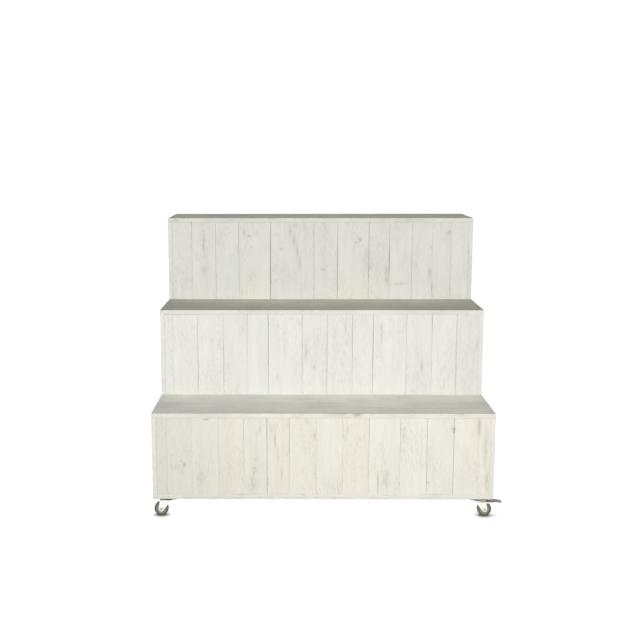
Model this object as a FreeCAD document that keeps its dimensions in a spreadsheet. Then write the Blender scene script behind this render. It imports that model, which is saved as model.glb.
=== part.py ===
"""Tiered display table: three steps of painted softwood boards on a timber frame, on four swivel castors.

Millimetres. +Z is up, +X is to the right and the front faces -Y. The origin is on the floor, in the middle of
the whole table seen from above.
"""

import FreeCAD, Part

import itertools
import math
import os

import Sketcher

# ---------------------------------------------------------------------------------------------------------
# Driving sizes: one cell each in the sheet.
# ---------------------------------------------------------------------------------------------------------

SIZES = {
    # the stepped case
    "width": 1200,
    "lower_depth": 300,
    "middle_depth": 300,
    "upper_depth": 300,
    "lower_rise": 310,
    "middle_rise": 320,
    "upper_rise": 320,
    "board_thickness": 16,
    "tread_thickness": 16,
    "base_thickness": 16,
    "board_gap": 1,
    "narrowest_board": 25,
    # the frame
    "post_side": 44,
    "sill_width": 95,
    "sill_height": 44,
    "rail_thickness": 32,
    "rail_height": 44,
    "riser_rail_height": 95,
    "rear_rail_level": 523,
    "bearer_spacing": 400,
    # nails
    "nail_diameter": 2,
    "nail_length": 32,
    "nail_edge": 22,
    "two_nail_width": 96,
    "nail_clearance": 5.5,
    "side_nail_drop": 8,
    "base_nail_edge": 40,
    "base_nail_inset": 21,
    # castors: where they stand, and their stack from the floor up
    "castor_inset_x": 52,
    "castor_inset_y": 36,
    "castor_trail": 27,
    "wheel_diameter": 50,
    "wheel_headroom": 9.6,
    "fork_thickness": 2.5,
    "race_gap": 2.4,
    "dish_depth": 3,
    "plate_thickness": 2.5,
    # castor plate and kingpin
    "plate_side": 60,
    "plate_corner": 6,
    "screw_spacing": 46,
    "screw_hole": 5.3,
    "dish_diameter": 40,
    "kingpin_diameter": 8,
    "kingpin_head_diameter": 16,
    "kingpin_head_height": 3,
    "kingpin_tail_diameter": 13,
    "kingpin_tail_height": 2,
    "recess_diameter": 18,
    "recess_depth": 4,
    # ball race
    "race_diameter": 28,
    "ball_diameter": 4,
    "ball_seat_clearance": 0.05,
    # fork
    "fork_disc_diameter": 40,
    "leg_thickness": 2,
    "leg_back": 12,
    "leg_front": 3.5,
    "leg_end_radius": 9.5,
    # wheel and axle
    "tyre_width": 18,
    "tyre_thickness": 8,
    "tyre_round": 3.5,
    "tyre_side_gap": 1.5,
    "hub_width": 15,
    "hub_rim": 3,
    "hub_boss_diameter": 13,
    "hub_recess_depth": 3,
    "axle_diameter": 6,
    "axle_head_height": 4,
    "axle_head_radius": 5.5,
    "axle_nut_height": 5,
    "axle_end": 1,
    # brake
    "pedal_lift": 5,
    "pedal_flange": 7,
    "pedal_plate": 2,
    "pedal_ear": 6,
    "pedal_ear_round": 3,
    "pedal_pivot_x": 8,
    "pedal_pivot_drop": 3,
    "pedal_flange_end": 50,
    "pedal_bend_x": 68,
    "pedal_tip_x": 87.5,
    "pedal_tip_drop": 3,
    "pedal_tip_round": 8,
    "pedal_side_gap": 0.5,
    "pedal_leg_gap": 1.3,
    "brake_pin_diameter": 5,
    "brake_pin_head_diameter": 8,
    "brake_pin_head_height": 1.5,
    # castor screws
    "screw_diameter": 4.8,
    "screw_length": 35,
    "screw_point": 5,
    "screw_head_diameter": 9,
    "screw_head_height": 2.5,
    # clearances between pieces that move on each other
    "running_clearance": 0.05,
    "free_clearance": 0.3,
}

# Board widths as they lie on each face, from the left or the front. The last board of a face is cut to fit.
STOCK = {
    "lower_front_board": (36, 86, 93, 88, 80, 77, 93, 92, 91, 108, 93, 92, 86, 40),
    "middle_front_board": (31, 90, 95, 89, 76, 125, 92, 93, 76, 123, 94, 90, 82),
    "upper_front_board": (77, 93, 90, 124, 171, 92, 122, 80, 88, 79, 71, 70),
    "side_board": (104, 91, 88, 112),
    "back_board": (96, 88, 112, 79, 94),
    "lower_tread_plank": (74, 104, 122),
    "middle_tread_plank": (98, 92, 110),
    "top_tread_plank": (88, 112, 100),
    "base_plank": (150,),
}

BALLS = 10
FLAT_SIDES = 6
HAIR = 0.001

doc = FreeCAD.newDocument("TieredDisplayTable")
sheet = doc.addObject("Spreadsheet::Sheet", "Sizes")
widths = {f"{stock}_{number}": width for stock in STOCK for number, width in enumerate(STOCK[stock], start=1)}
for row, (alias, number) in enumerate({**SIZES, **widths}.items(), start=1):
    sheet.set(f"A{row}", str(number))
    sheet.setAlias(f"A{row}", alias)
doc.recompute()

# ---------------------------------------------------------------------------------------------------------
# Levels and limits, as expressions of the sheet's cells.
# ---------------------------------------------------------------------------------------------------------

FORK_UNDER = "(Sizes.wheel_diameter + Sizes.wheel_headroom)"
FORK_TOP = f"({FORK_UNDER} + Sizes.fork_thickness)"
BALL_LEVEL = f"({FORK_TOP} + Sizes.race_gap / 2)"
DISH_UNDER = f"({FORK_TOP} + Sizes.race_gap)"
PLATE_UNDER = f"({DISH_UNDER} + Sizes.dish_depth)"
BASE_UNDER = f"({PLATE_UNDER} + Sizes.plate_thickness)"
BASE_TOP = f"({BASE_UNDER} + Sizes.base_thickness)"
SILL_TOP = f"({BASE_TOP} + Sizes.sill_height)"

LOWER_TOP = f"({BASE_UNDER} + Sizes.lower_rise)"
MIDDLE_TOP = f"({LOWER_TOP} + Sizes.middle_rise)"
UPPER_TOP = f"({MIDDLE_TOP} + Sizes.upper_rise)"
LOWER_UNDER, MIDDLE_UNDER, UPPER_UNDER = (
    f"({top} - Sizes.tread_thickness)" for top in (LOWER_TOP, MIDDLE_TOP, UPPER_TOP)
)

FRONT = "(-(Sizes.lower_depth + Sizes.middle_depth + Sizes.upper_depth) / 2)"
MIDDLE_FRONT = f"({FRONT} + Sizes.lower_depth)"
UPPER_FRONT = f"({MIDDLE_FRONT} + Sizes.middle_depth)"
BACK = f"({UPPER_FRONT} + Sizes.upper_depth)"
INNER_FRONT = f"({FRONT} + Sizes.board_thickness)"
INNER_MIDDLE_FRONT = f"({MIDDLE_FRONT} + Sizes.board_thickness)"
INNER_UPPER_FRONT = f"({UPPER_FRONT} + Sizes.board_thickness)"
INNER_BACK = f"({BACK} - Sizes.board_thickness)"

RIGHT = "(Sizes.width / 2)"
INNER_RIGHT = f"({RIGHT} - Sizes.board_thickness)"
POST_FACE = f"({INNER_RIGHT} - Sizes.post_side)"
SIDE_RAIL_FACE = f"({INNER_RIGHT} - Sizes.rail_thickness)"
SILL_FACE = f"({INNER_RIGHT} - Sizes.sill_width)"
INNER_WIDTH = (f"-{INNER_RIGHT}", INNER_RIGHT)
BETWEEN_POSTS = (f"-{POST_FACE}", POST_FACE)

WHEEL_RADIUS = "(Sizes.wheel_diameter / 2)"
HUB_RADIUS = f"({WHEEL_RADIUS} - Sizes.tyre_thickness)"
FORK_INSIDE = "(Sizes.tyre_width / 2 + Sizes.tyre_side_gap)"
FORK_OUTSIDE = f"({FORK_INSIDE} + Sizes.leg_thickness)"
PEDAL_TOP = "(Sizes.wheel_diameter + Sizes.pedal_lift)"
PEDAL_UNDER = f"({PEDAL_TOP} - Sizes.pedal_plate)"
PEDAL_FOOT = f"({PEDAL_TOP} - Sizes.pedal_flange)"
PEDAL_BACK = "(Sizes.pedal_pivot_x - Sizes.pedal_ear)"
PEDAL_PIVOT = f"({PEDAL_TOP} - Sizes.pedal_pivot_drop)"
PEDAL_INSIDE = f"({FORK_OUTSIDE} + Sizes.pedal_side_gap)"
PEDAL_OUTSIDE = f"({PEDAL_INSIDE} + Sizes.leg_thickness)"
PEDAL_TIP = f"({PEDAL_TOP} - Sizes.pedal_tip_drop)"
LEG_FRONT = "(Sizes.castor_trail + Sizes.leg_front)"
LEG_LEAN = f"((Sizes.leg_end_radius - Sizes.leg_front) / ({FORK_TOP} - {WHEEL_RADIUS}))"
PEDAL_PLATE_START = f"({LEG_FRONT} + {LEG_LEAN} * ({FORK_TOP} - {PEDAL_UNDER}) + Sizes.pedal_leg_gap)"


def value(expression):
    """What an expression of the sheet's cells comes to now."""
    return float(sheet.evalExpression(expression))


def mirrored(low, high):
    """The limits on the left that match a pair of limits on the right."""
    return f"-{high}", f"-{low}"


def upwards(low, size):
    """A pair of limits: low, and low plus a cell."""
    return low, f"({low} + Sizes.{size})"


def downwards(high, size):
    """A pair of limits: high less a cell, and high."""
    return f"({high} - Sizes.{size})", high


# ---------------------------------------------------------------------------------------------------------
# Timber.
# ---------------------------------------------------------------------------------------------------------

nodes = {}
nails = []


def slab(name, x, y, z):
    """A straight timber between three pairs of limits."""
    timber = doc.addObject("Part::Box", name)
    for size, axis, (low, high) in zip(("Length", "Width", "Height"), "xyz", (x, y, z)):
        timber.setExpression(size, f"{high} - {low}")
        timber.setExpression(f"Placement.Base.{axis}", low)
    return timber


def board_limits(stock, start, end):
    """The limits of each board laid side by side from start to end. The stock repeats, and the last board is
    cut to the space left, with any strip too narrow to be a board of its own."""
    limits, low = [], start
    for number in itertools.cycle(range(1, len(STOCK[stock]) + 1)):
        high = f"({low} + Sizes.{stock}_{number})"
        if value(f"{end} - {high} - Sizes.board_gap - Sizes.narrowest_board") < 0:
            limits.append((low, end))
            return limits
        limits.append((low, high))
        low = f"({high} + Sizes.board_gap)"


def nail(place, way):
    """A nail with its head flush at a place, driven the given way."""
    shank = doc.addObject("Part::Cylinder", f"nail_{len(nails) + 1}")
    shank.setExpression("Radius", "Sizes.nail_diameter / 2")
    shank.setExpression("Height", "Sizes.nail_length")
    shank.Placement.Rotation = FreeCAD.Rotation(FreeCAD.Vector(0, 0, 1), FreeCAD.Vector(*way))
    for axis, at in place.items():
        shank.setExpression(f"Placement.Base.{axis}", at)
    nails.append(shank)


def nail_places(low, high, edge):
    """Where nails go across one board: in the middle of a narrow one, and near both edges of a wide one."""
    if value(f"{high} - {low}") < value("Sizes.two_nail_width"):
        return [f"(({low} + {high}) / 2)"]
    return [f"({low} + Sizes.{edge})", f"({high} - Sizes.{edge})"]


def clad(label, stock, laid, limits, way, rows, edge="nail_edge"):
    """A face of boards laid along one axis and nailed through their thickness. limits holds the face's pair
    of limits on each axis, way is the nails' direction, and rows is the axis and places of the nail rows."""
    through = "xyz"[[abs(part) for part in way].index(1)]
    head = limits[through][0] if sum(way) > 0 else limits[through][1]
    boards = []
    for number, part in enumerate(board_limits(stock, *limits[laid]), start=1):
        boards.append(slab(f"{label}_{number}", **{**limits, laid: part}))
        for row, across in itertools.product(rows[1], nail_places(*part, edge)):
            nail({through: head, rows[0]: row, laid: across}, way)
    nodes[label] = boards


def frame(label, *timbers):
    """Frame timbers of one kind, each given by its limits on x, y and z."""
    nodes[label] = [slab(f"{label}_{number}", *limits) for number, limits in enumerate(timbers, start=1)]


def on_both_sides(x, y, z):
    """Limits of a timber on the right, and of its twin on the left."""
    return (mirrored(*x), y, z), (x, y, z)


def make_base():
    """Planks along the table, nailed up into the sills."""
    inset = f"({SILL_FACE} + Sizes.base_nail_inset)"
    clad(
        "base_boards",
        "base_plank",
        "y",
        {"x": (f"-{RIGHT}", RIGHT), "y": (FRONT, BACK), "z": (BASE_UNDER, BASE_TOP)},
        (0, 0, 1),
        ("x", (f"-{inset}", inset)),
        "base_nail_edge",
    )


def make_treads():
    """Planks along the table on each step, flush with the fronts, the sides and the next front."""
    side_rail = f"({SIDE_RAIL_FACE} + Sizes.rail_thickness / 2)"
    bearer = "(Sizes.bearer_spacing / 2)"
    rows = ("x", (f"-{side_rail}", f"-{bearer}", bearer, side_rail))
    for label, stock, y, z in (
        ("lower_tread", "lower_tread_plank", (FRONT, MIDDLE_FRONT), (LOWER_UNDER, LOWER_TOP)),
        ("middle_tread", "middle_tread_plank", (MIDDLE_FRONT, UPPER_FRONT), (MIDDLE_UNDER, MIDDLE_TOP)),
        ("top_tread", "top_tread_plank", (UPPER_FRONT, BACK), (UPPER_UNDER, UPPER_TOP)),
    ):
        clad(label, stock, "y", {"x": (f"-{RIGHT}", RIGHT), "y": y, "z": z}, (0, 0, -1), rows)


# The levels of the nails in the fronts and the back: clear of the castor screws' points and of the nails
# through the treads.
SILL_ROW = f"({PLATE_UNDER} + Sizes.screw_length + Sizes.nail_clearance + Sizes.side_nail_drop)"
LOWER_ROW, MIDDLE_ROW, UPPER_ROW = (
    f"({top} - Sizes.nail_length - Sizes.nail_clearance)" for top in (LOWER_TOP, MIDDLE_TOP, UPPER_TOP)
)


def riser_rail(under):
    """The limits on z of the deep rail behind a front, which carries the bearers of the tread before it."""
    low = f"({under} - Sizes.rail_height)"
    return upwards(low, "riser_rail_height")


def riser_row(under):
    """The level of the nails in the foot of a front that stands behind a tread."""
    return f"(({under} + {riser_rail(under)[1]}) / 2)"


def make_fronts():
    """Upright boards of uneven width between the side walls."""
    for label, stock, face, z, rows in (
        ("lower_front_boards", "lower_front_board", FRONT, (BASE_TOP, LOWER_UNDER), (SILL_ROW, LOWER_ROW)),
        (
            "middle_front_boards",
            "middle_front_board",
            MIDDLE_FRONT,
            (LOWER_UNDER, MIDDLE_UNDER),
            (riser_row(LOWER_UNDER), MIDDLE_ROW),
        ),
        (
            "upper_front_boards",
            "upper_front_board",
            UPPER_FRONT,
            (MIDDLE_UNDER, UPPER_UNDER),
            (riser_row(MIDDLE_UNDER), UPPER_ROW),
        ),
    ):
        limits = {"x": INNER_WIDTH, "y": upwards(face, "board_thickness"), "z": z}
        clad(label, stock, "x", limits, (0, 1, 0), ("z", rows))


def make_sides():
    """Upright boards up to each step's tread, nailed a little lower than the fronts so that no nails meet."""
    sill_row = f"({SILL_ROW} - Sizes.side_nail_drop)"
    rail_rows = [f"({row} - Sizes.side_nail_drop)" for row in (LOWER_ROW, MIDDLE_ROW, UPPER_ROW)]
    wall = (INNER_RIGHT, RIGHT)
    for side, x, way in (("left", mirrored(*wall), (1, 0, 0)), ("right", wall, (-1, 0, 0))):
        for steps, (step, y, top) in enumerate(
            (
                ("lower", (FRONT, MIDDLE_FRONT), LOWER_UNDER),
                ("middle", (MIDDLE_FRONT, UPPER_FRONT), MIDDLE_UNDER),
                ("upper", (UPPER_FRONT, BACK), UPPER_UNDER),
            ),
            start=1,
        ):
            limits = {"x": x, "y": y, "z": (BASE_TOP, top)}
            rows = ("z", [sill_row, *rail_rows[:steps]])
            clad(f"{side}_side_{step}_boards", "side_board", "y", limits, way, rows)


def make_back():
    """Upright boards over the whole back, between the side walls."""
    rear_row = "(Sizes.rear_rail_level + Sizes.rail_height / 2)"
    limits = {"x": INNER_WIDTH, "y": (INNER_BACK, BACK), "z": (BASE_TOP, UPPER_UNDER)}
    clad("back_boards", "back_board", "x", limits, (0, -1, 0), ("z", (SILL_ROW, rear_row, UPPER_ROW)))


FRONT_POST = upwards(INNER_FRONT, "post_side")
MIDDLE_POST = upwards(INNER_MIDDLE_FRONT, "post_side")
UPPER_POST = upwards(INNER_UPPER_FRONT, "post_side")
REAR_POST = downwards(INNER_BACK, "post_side")


def make_frame():
    """Sills on the base, posts on the sills, rails between the posts and bearers under the treads."""
    sill_x = (SILL_FACE, INNER_RIGHT)
    sill_left, sill_right = on_both_sides(sill_x, (INNER_FRONT, INNER_BACK), (BASE_TOP, SILL_TOP))
    frame("left_sill", sill_left)
    frame("right_sill", sill_right)

    post_x = (POST_FACE, INNER_RIGHT)
    frame("front_posts", *on_both_sides(post_x, FRONT_POST, (SILL_TOP, LOWER_UNDER)))
    frame("middle_posts", *on_both_sides(post_x, MIDDLE_POST, (SILL_TOP, MIDDLE_UNDER)))
    frame("upper_posts", *on_both_sides(post_x, UPPER_POST, (SILL_TOP, UPPER_UNDER)))
    frame("rear_posts", *on_both_sides(post_x, REAR_POST, (SILL_TOP, UPPER_UNDER)))

    front_rail, middle_rail, upper_rail = (
        upwards(face, "rail_thickness") for face in (INNER_FRONT, INNER_MIDDLE_FRONT, INNER_UPPER_FRONT)
    )
    rear_rail = downwards(INNER_BACK, "rail_thickness")
    lower_z, middle_z, upper_z = (
        downwards(under, "rail_height") for under in (LOWER_UNDER, MIDDLE_UNDER, UPPER_UNDER)
    )
    between_sills = (f"-{SILL_FACE}", SILL_FACE)
    bottom_z = upwards(BASE_TOP, "rail_height")
    frame("bottom_rails", (between_sills, front_rail, bottom_z), (between_sills, rear_rail, bottom_z))
    frame(
        "front_rails",
        (BETWEEN_POSTS, front_rail, lower_z),
        (BETWEEN_POSTS, middle_rail, middle_z),
        (BETWEEN_POSTS, upper_rail, upper_z),
    )
    frame(
        "riser_rails",
        (BETWEEN_POSTS, middle_rail, riser_rail(LOWER_UNDER)),
        (BETWEEN_POSTS, upper_rail, riser_rail(MIDDLE_UNDER)),
    )
    frame(
        "rear_rails",
        (BETWEEN_POSTS, rear_rail, upwards("Sizes.rear_rail_level", "rail_height")),
        (BETWEEN_POSTS, rear_rail, upper_z),
    )

    side_x = (SIDE_RAIL_FACE, INNER_RIGHT)
    bays = [(FRONT_POST[1], MIDDLE_POST[0]), (MIDDLE_POST[1], UPPER_POST[0]), (UPPER_POST[1], REAR_POST[0])]
    side_rails = []
    for first_bay, z in enumerate((lower_z, middle_z, upper_z)):
        for bay in bays[first_bay:]:
            side_rails += on_both_sides(side_x, bay, z)
    frame("side_rails", *side_rails)

    bearer_x = upwards("(Sizes.bearer_spacing / 2 - Sizes.rail_thickness / 2)", "rail_thickness")
    frame(
        "tread_bearers",
        *on_both_sides(bearer_x, (front_rail[1], middle_rail[0]), lower_z),
        *on_both_sides(bearer_x, (middle_rail[1], upper_rail[0]), middle_z),
        *on_both_sides(bearer_x, (upper_rail[1], rear_rail[0]), upper_z),
    )


# ---------------------------------------------------------------------------------------------------------
# Castors. Each is made about its own swivel axis, with the wheel trailing towards +X, and then turned.
# ---------------------------------------------------------------------------------------------------------


def sketch(body, name, plane, shift=("0", "0", "0")):
    """An empty sketch on one of a body's own planes. shift moves its origin along its own x, y and normal."""
    plan = body.newObject("Sketcher::SketchObject", f"{body.Name}_{name}")
    support = next(item for item in body.Origin.OriginFeatures if item.Role == plane)
    plan.AttachmentSupport = [(support, "")]
    plan.MapMode = "FlatFace"
    for axis, by in zip("xyz", shift):
        plan.setExpression(f"AttachmentOffset.Base.{axis}", by)
    return plan


def bind(plan, kind, expression, *where):
    """A constraint of a sketch whose size is an expression."""
    number = plan.addConstraint(Sketcher.Constraint(kind, *where, value(expression)))
    plan.renameConstraint(number, f"size_{number}")
    plan.setExpression(f"Constraints.size_{number}", expression)


def fix_point(plan, edge, point, x, y):
    """Holds a point of a sketch's edge at x and y."""
    for kind, axis, at in (("DistanceX", -2, x), ("DistanceY", -1, y)):
        if at == "0":
            plan.addConstraint(Sketcher.Constraint("PointOnObject", edge, point, axis))
        else:
            bind(plan, kind, at, -1, 1, edge, point)


def draw_circle(plan, radius, x="0", y="0"):
    """A circle of a sketch."""
    centre = FreeCAD.Vector(value(x), value(y), 0)
    edge = plan.addGeometry(Part.Circle(centre, FreeCAD.Vector(0, 0, 1), value(radius)))
    bind(plan, "Radius", radius, edge)
    fix_point(plan, edge, 3, x, y)


def draw_outline(plan, corners):
    """A closed outline of a sketch, straight from corner to corner."""
    points = [FreeCAD.Vector(value(x), value(y), 0) for x, y in corners]
    lines = [plan.addGeometry(Part.LineSegment(a, b)) for a, b in zip(points, points[1:] + points[:1])]
    for line, following in zip(lines, lines[1:] + lines[:1]):
        plan.addConstraint(Sketcher.Constraint("Coincident", line, 2, following, 1))
    for line, (x, y) in zip(lines, corners):
        fix_point(plan, line, 1, x, y)


def draw_box(plan, x, y):
    """A rectangle of a sketch between two pairs of limits."""
    draw_outline(plan, [(x[0], y[0]), (x[1], y[0]), (x[1], y[1]), (x[0], y[1])])


def draw_hexagon(plan, radius, x="0", y="0"):
    """A regular hexagon of a sketch, by its corner radius."""
    corners = []
    for number in range(FLAT_SIDES):
        turn = f"{number * 360 / FLAT_SIDES} deg"
        corners.append((f"({x} + {radius} * cos({turn}))", f"({y} + {radius} * sin({turn}))"))
    draw_outline(plan, corners)


def feature(body, kind, plan, length, midplane=False):
    """A Pad or Pocket of a sketch, to a length along its normal or half of it each way."""
    made = body.newObject(f"PartDesign::{kind}", f"{plan.Name}_{kind}")
    made.Profile = plan
    made.Midplane = midplane
    made.setExpression("Length", length)
    return made


def turn(body, kind, plan, axis):
    """A Revolution or Groove of a sketch, all the way round one of its own axes."""
    made = body.newObject(f"PartDesign::{kind}", f"{plan.Name}_{kind}")
    made.Profile = plan
    made.ReferenceAxis = (plan, [axis])
    made.Angle = 360
    return made


def round_edges(body, radius, wanted):
    """A fillet on the body's edges that are wanted, by a test of each edge."""
    doc.recompute()
    before = body.Tip
    made = body.newObject("PartDesign::Fillet", f"{body.Name}_round_{len(body.Group)}")
    edges = [f"Edge{number}" for number, edge in enumerate(before.Shape.Edges, start=1) if wanted(edge)]
    made.Base = (before, edges)
    made.setExpression("Radius", radius)


def upright(edge):
    """True for a straight edge along Z."""
    return len(edge.Vertexes) == 2 and edge.BoundBox.XLength + edge.BoundBox.YLength < HAIR


def sideways(edge):
    """True for a straight edge along Y."""
    return len(edge.Vertexes) == 2 and edge.BoundBox.XLength + edge.BoundBox.ZLength < HAIR


def at_x(edge, expression):
    """True for an edge that starts at an expression's x."""
    return abs(edge.Vertexes[0].X - value(expression)) < HAIR


class Castor:
    """Where one castor stands, and how far it is turned about its swivel axis."""

    def __init__(self, name, right, rear, braked):
        self.name = name
        self.braked = braked
        across = "(Sizes.width / 2 - Sizes.castor_inset_x)"
        self.x = across if right else f"-{across}"
        self.y = f"({BACK} - Sizes.castor_inset_y)" if rear else f"({FRONT} + Sizes.castor_inset_y)"
        self.turn_deg = 0 if right else 180

    def label(self, piece):
        return f"{self.name}_{piece}"

    def place(self, made):
        """Moves a finished piece from the castor's own axes to where the castor stands."""
        made.Placement.Rotation = FreeCAD.Rotation(FreeCAD.Vector(0, 0, 1), self.turn_deg)
        made.setExpression("Placement.Base.x", self.x)
        made.setExpression("Placement.Base.y", self.y)

    def body(self, piece):
        made = doc.addObject("PartDesign::Body", self.label(piece))
        self.place(made)
        return made


WHEEL_SHIFT = ("Sizes.castor_trail", WHEEL_RADIUS, "0")


def make_plate(castor):
    """The top plate: a square with round corners, a dish under it for the balls and four screw holes."""
    body = castor.body("castor_plate")
    square = sketch(body, "square", "XY_Plane", ("0", "0", PLATE_UNDER))
    half = "(Sizes.plate_side / 2)"
    draw_box(square, (f"-{half}", half), (f"-{half}", half))
    feature(body, "Pad", square, "Sizes.plate_thickness")
    round_edges(body, "Sizes.plate_corner", upright)

    dish = sketch(body, "dish", "XY_Plane", ("0", "0", DISH_UNDER))
    draw_circle(dish, "Sizes.dish_diameter / 2")
    feature(body, "Pad", dish, "Sizes.dish_depth + Sizes.plate_thickness / 2")

    recess = sketch(body, "recess", "XY_Plane", ("0", "0", BASE_UNDER))
    draw_circle(recess, "Sizes.recess_diameter / 2")
    feature(body, "Pocket", recess, "Sizes.recess_depth")

    bore = sketch(body, "bore", "XY_Plane", ("0", "0", BASE_UNDER))
    draw_circle(bore, "Sizes.kingpin_diameter / 2")
    feature(body, "Pocket", bore, "Sizes.plate_thickness + 2 * Sizes.dish_depth")

    seat = sketch(body, "seat", "XZ_Plane")
    seat_radius = "Sizes.ball_diameter / 2 + Sizes.ball_seat_clearance"
    draw_circle(seat, seat_radius, "Sizes.race_diameter / 2", BALL_LEVEL)
    turn(body, "Groove", seat, "V_Axis")

    hole = sketch(body, "hole", "XY_Plane", ("0", "0", BASE_UNDER))
    draw_circle(hole, "Sizes.screw_hole / 2", "Sizes.screw_spacing / 2", "Sizes.screw_spacing / 2")
    drilled = feature(body, "Pocket", hole, "2 * Sizes.plate_thickness")
    doc.recompute()
    four = body.newObject("PartDesign::PolarPattern", castor.label("plate_holes"))
    four.Originals = [drilled]
    four.Axis = (hole, ["N_Axis"])
    four.Angle = 360
    four.Occurrences = 4
    body.Tip = four
    nodes[castor.label("castor_plate")] = [body]


def make_kingpin(castor):
    """The rivet that the fork hangs and turns on."""
    body = castor.body("kingpin")
    profile = sketch(body, "profile", "XZ_Plane")
    shank, head, tail = (f"Sizes.kingpin_{part}diameter / 2" for part in ("", "head_", "tail_"))
    seat = f"({BASE_UNDER} - Sizes.recess_depth)"
    tail_top = f"({FORK_UNDER} - Sizes.free_clearance)"
    tail_foot = f"({tail_top} - Sizes.kingpin_tail_height)"
    head_top = f"({seat} + Sizes.kingpin_head_height)"
    corners = [
        ("0", tail_foot),
        (tail, tail_foot),
        (tail, tail_top),
        (shank, tail_top),
        (shank, seat),
        (head, seat),
        (head, head_top),
        ("0", head_top),
    ]
    draw_outline(profile, corners)
    turn(body, "Revolution", profile, "V_Axis")
    nodes[castor.label("kingpin")] = [body]


def make_balls(castor):
    """The ring of balls that the fork turns on."""
    balls = []
    for number in range(BALLS):
        ball = doc.addObject("Part::Sphere", castor.label(f"ball_{number + 1}"))
        ball.setExpression("Radius", "Sizes.ball_diameter / 2")
        turned = f"{number * 360 / BALLS} deg"
        ball.setExpression("Placement.Base.x", f"Sizes.race_diameter / 2 * cos({turned})")
        ball.setExpression("Placement.Base.y", f"Sizes.race_diameter / 2 * sin({turned})")
        ball.setExpression("Placement.Base.z", BALL_LEVEL)
        balls.append(ball)
    ring = doc.addObject("Part::Compound", castor.label("ball_ring"))
    ring.Links = balls
    castor.place(ring)
    nodes[castor.label("swivel_balls")] = [ring]


def draw_leg(plan):
    """The side of a fork leg: a round end about the axle, widening up to the fork's top."""
    axle = FreeCAD.Vector(value("Sizes.castor_trail"), value(WHEEL_RADIUS), 0)
    radius = value("Sizes.leg_end_radius")
    round_end = Part.Circle(axle, FreeCAD.Vector(0, 0, 1), radius)
    arc = plan.addGeometry(Part.ArcOfCircle(round_end, math.pi, 2 * math.pi))
    rim_front, rim_back = (axle + FreeCAD.Vector(side * radius, 0, 0) for side in (1, -1))
    corner_front = FreeCAD.Vector(value(LEG_FRONT), value(FORK_TOP), 0)
    corner_back = FreeCAD.Vector(value("-Sizes.leg_back"), value(FORK_TOP), 0)
    rise = plan.addGeometry(Part.LineSegment(rim_front, corner_front))
    across = plan.addGeometry(Part.LineSegment(corner_front, corner_back))
    fall = plan.addGeometry(Part.LineSegment(corner_back, rim_back))
    plan.addConstraint(
        [
            Sketcher.Constraint("Tangent", arc, 2, rise, 1),
            Sketcher.Constraint("Coincident", rise, 2, across, 1),
            Sketcher.Constraint("Coincident", across, 2, fall, 1),
            Sketcher.Constraint("Tangent", fall, 2, arc, 1),
        ]
    )
    bind(plan, "Radius", "Sizes.leg_end_radius", arc)
    fix_point(plan, arc, 3, "Sizes.castor_trail", WHEEL_RADIUS)
    fix_point(plan, rise, 2, LEG_FRONT, FORK_TOP)
    fix_point(plan, fall, 1, "-Sizes.leg_back", FORK_TOP)


def make_fork(castor):
    """The pressed fork: a round top on the ball race and a leg each side of the wheel."""
    body = castor.body("fork")
    disc = sketch(body, "disc", "XY_Plane", ("0", "0", FORK_UNDER))
    draw_circle(disc, "Sizes.fork_disc_diameter / 2")
    feature(body, "Pad", disc, "Sizes.fork_thickness")

    leg = sketch(body, "leg", "XZ_Plane")
    draw_leg(leg)
    feature(body, "Pad", leg, f"2 * {FORK_OUTSIDE}", midplane=True)

    slot = sketch(body, "slot", "XZ_Plane")
    slot_x = ("-Sizes.fork_disc_diameter", f"({LEG_FRONT} + Sizes.wheel_diameter)")
    draw_box(slot, slot_x, ("0", FORK_UNDER))
    feature(body, "Pocket", slot, f"2 * {FORK_INSIDE}", midplane=True)

    axle_hole = sketch(body, "axle_hole", "XZ_Plane", WHEEL_SHIFT)
    draw_circle(axle_hole, "Sizes.axle_diameter / 2")
    feature(body, "Pocket", axle_hole, f"3 * {FORK_OUTSIDE}", midplane=True)

    bore = sketch(body, "bore", "XY_Plane", ("0", "0", FORK_TOP))
    draw_circle(bore, "Sizes.kingpin_diameter / 2 + Sizes.running_clearance")
    feature(body, "Pocket", bore, "2 * Sizes.fork_thickness")

    seat = sketch(body, "seat", "XZ_Plane")
    draw_circle(seat, "Sizes.ball_diameter / 2 + Sizes.free_clearance", "Sizes.race_diameter / 2", BALL_LEVEL)
    turn(body, "Groove", seat, "V_Axis")

    if castor.braked:
        pin_hole = sketch(body, "pin_hole", "XZ_Plane", ("Sizes.pedal_pivot_x", PEDAL_PIVOT, "0"))
        draw_circle(pin_hole, "Sizes.brake_pin_diameter / 2")
        feature(body, "Pocket", pin_hole, f"3 * {FORK_OUTSIDE}", midplane=True)
    nodes[castor.label("fork")] = [body]


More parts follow.
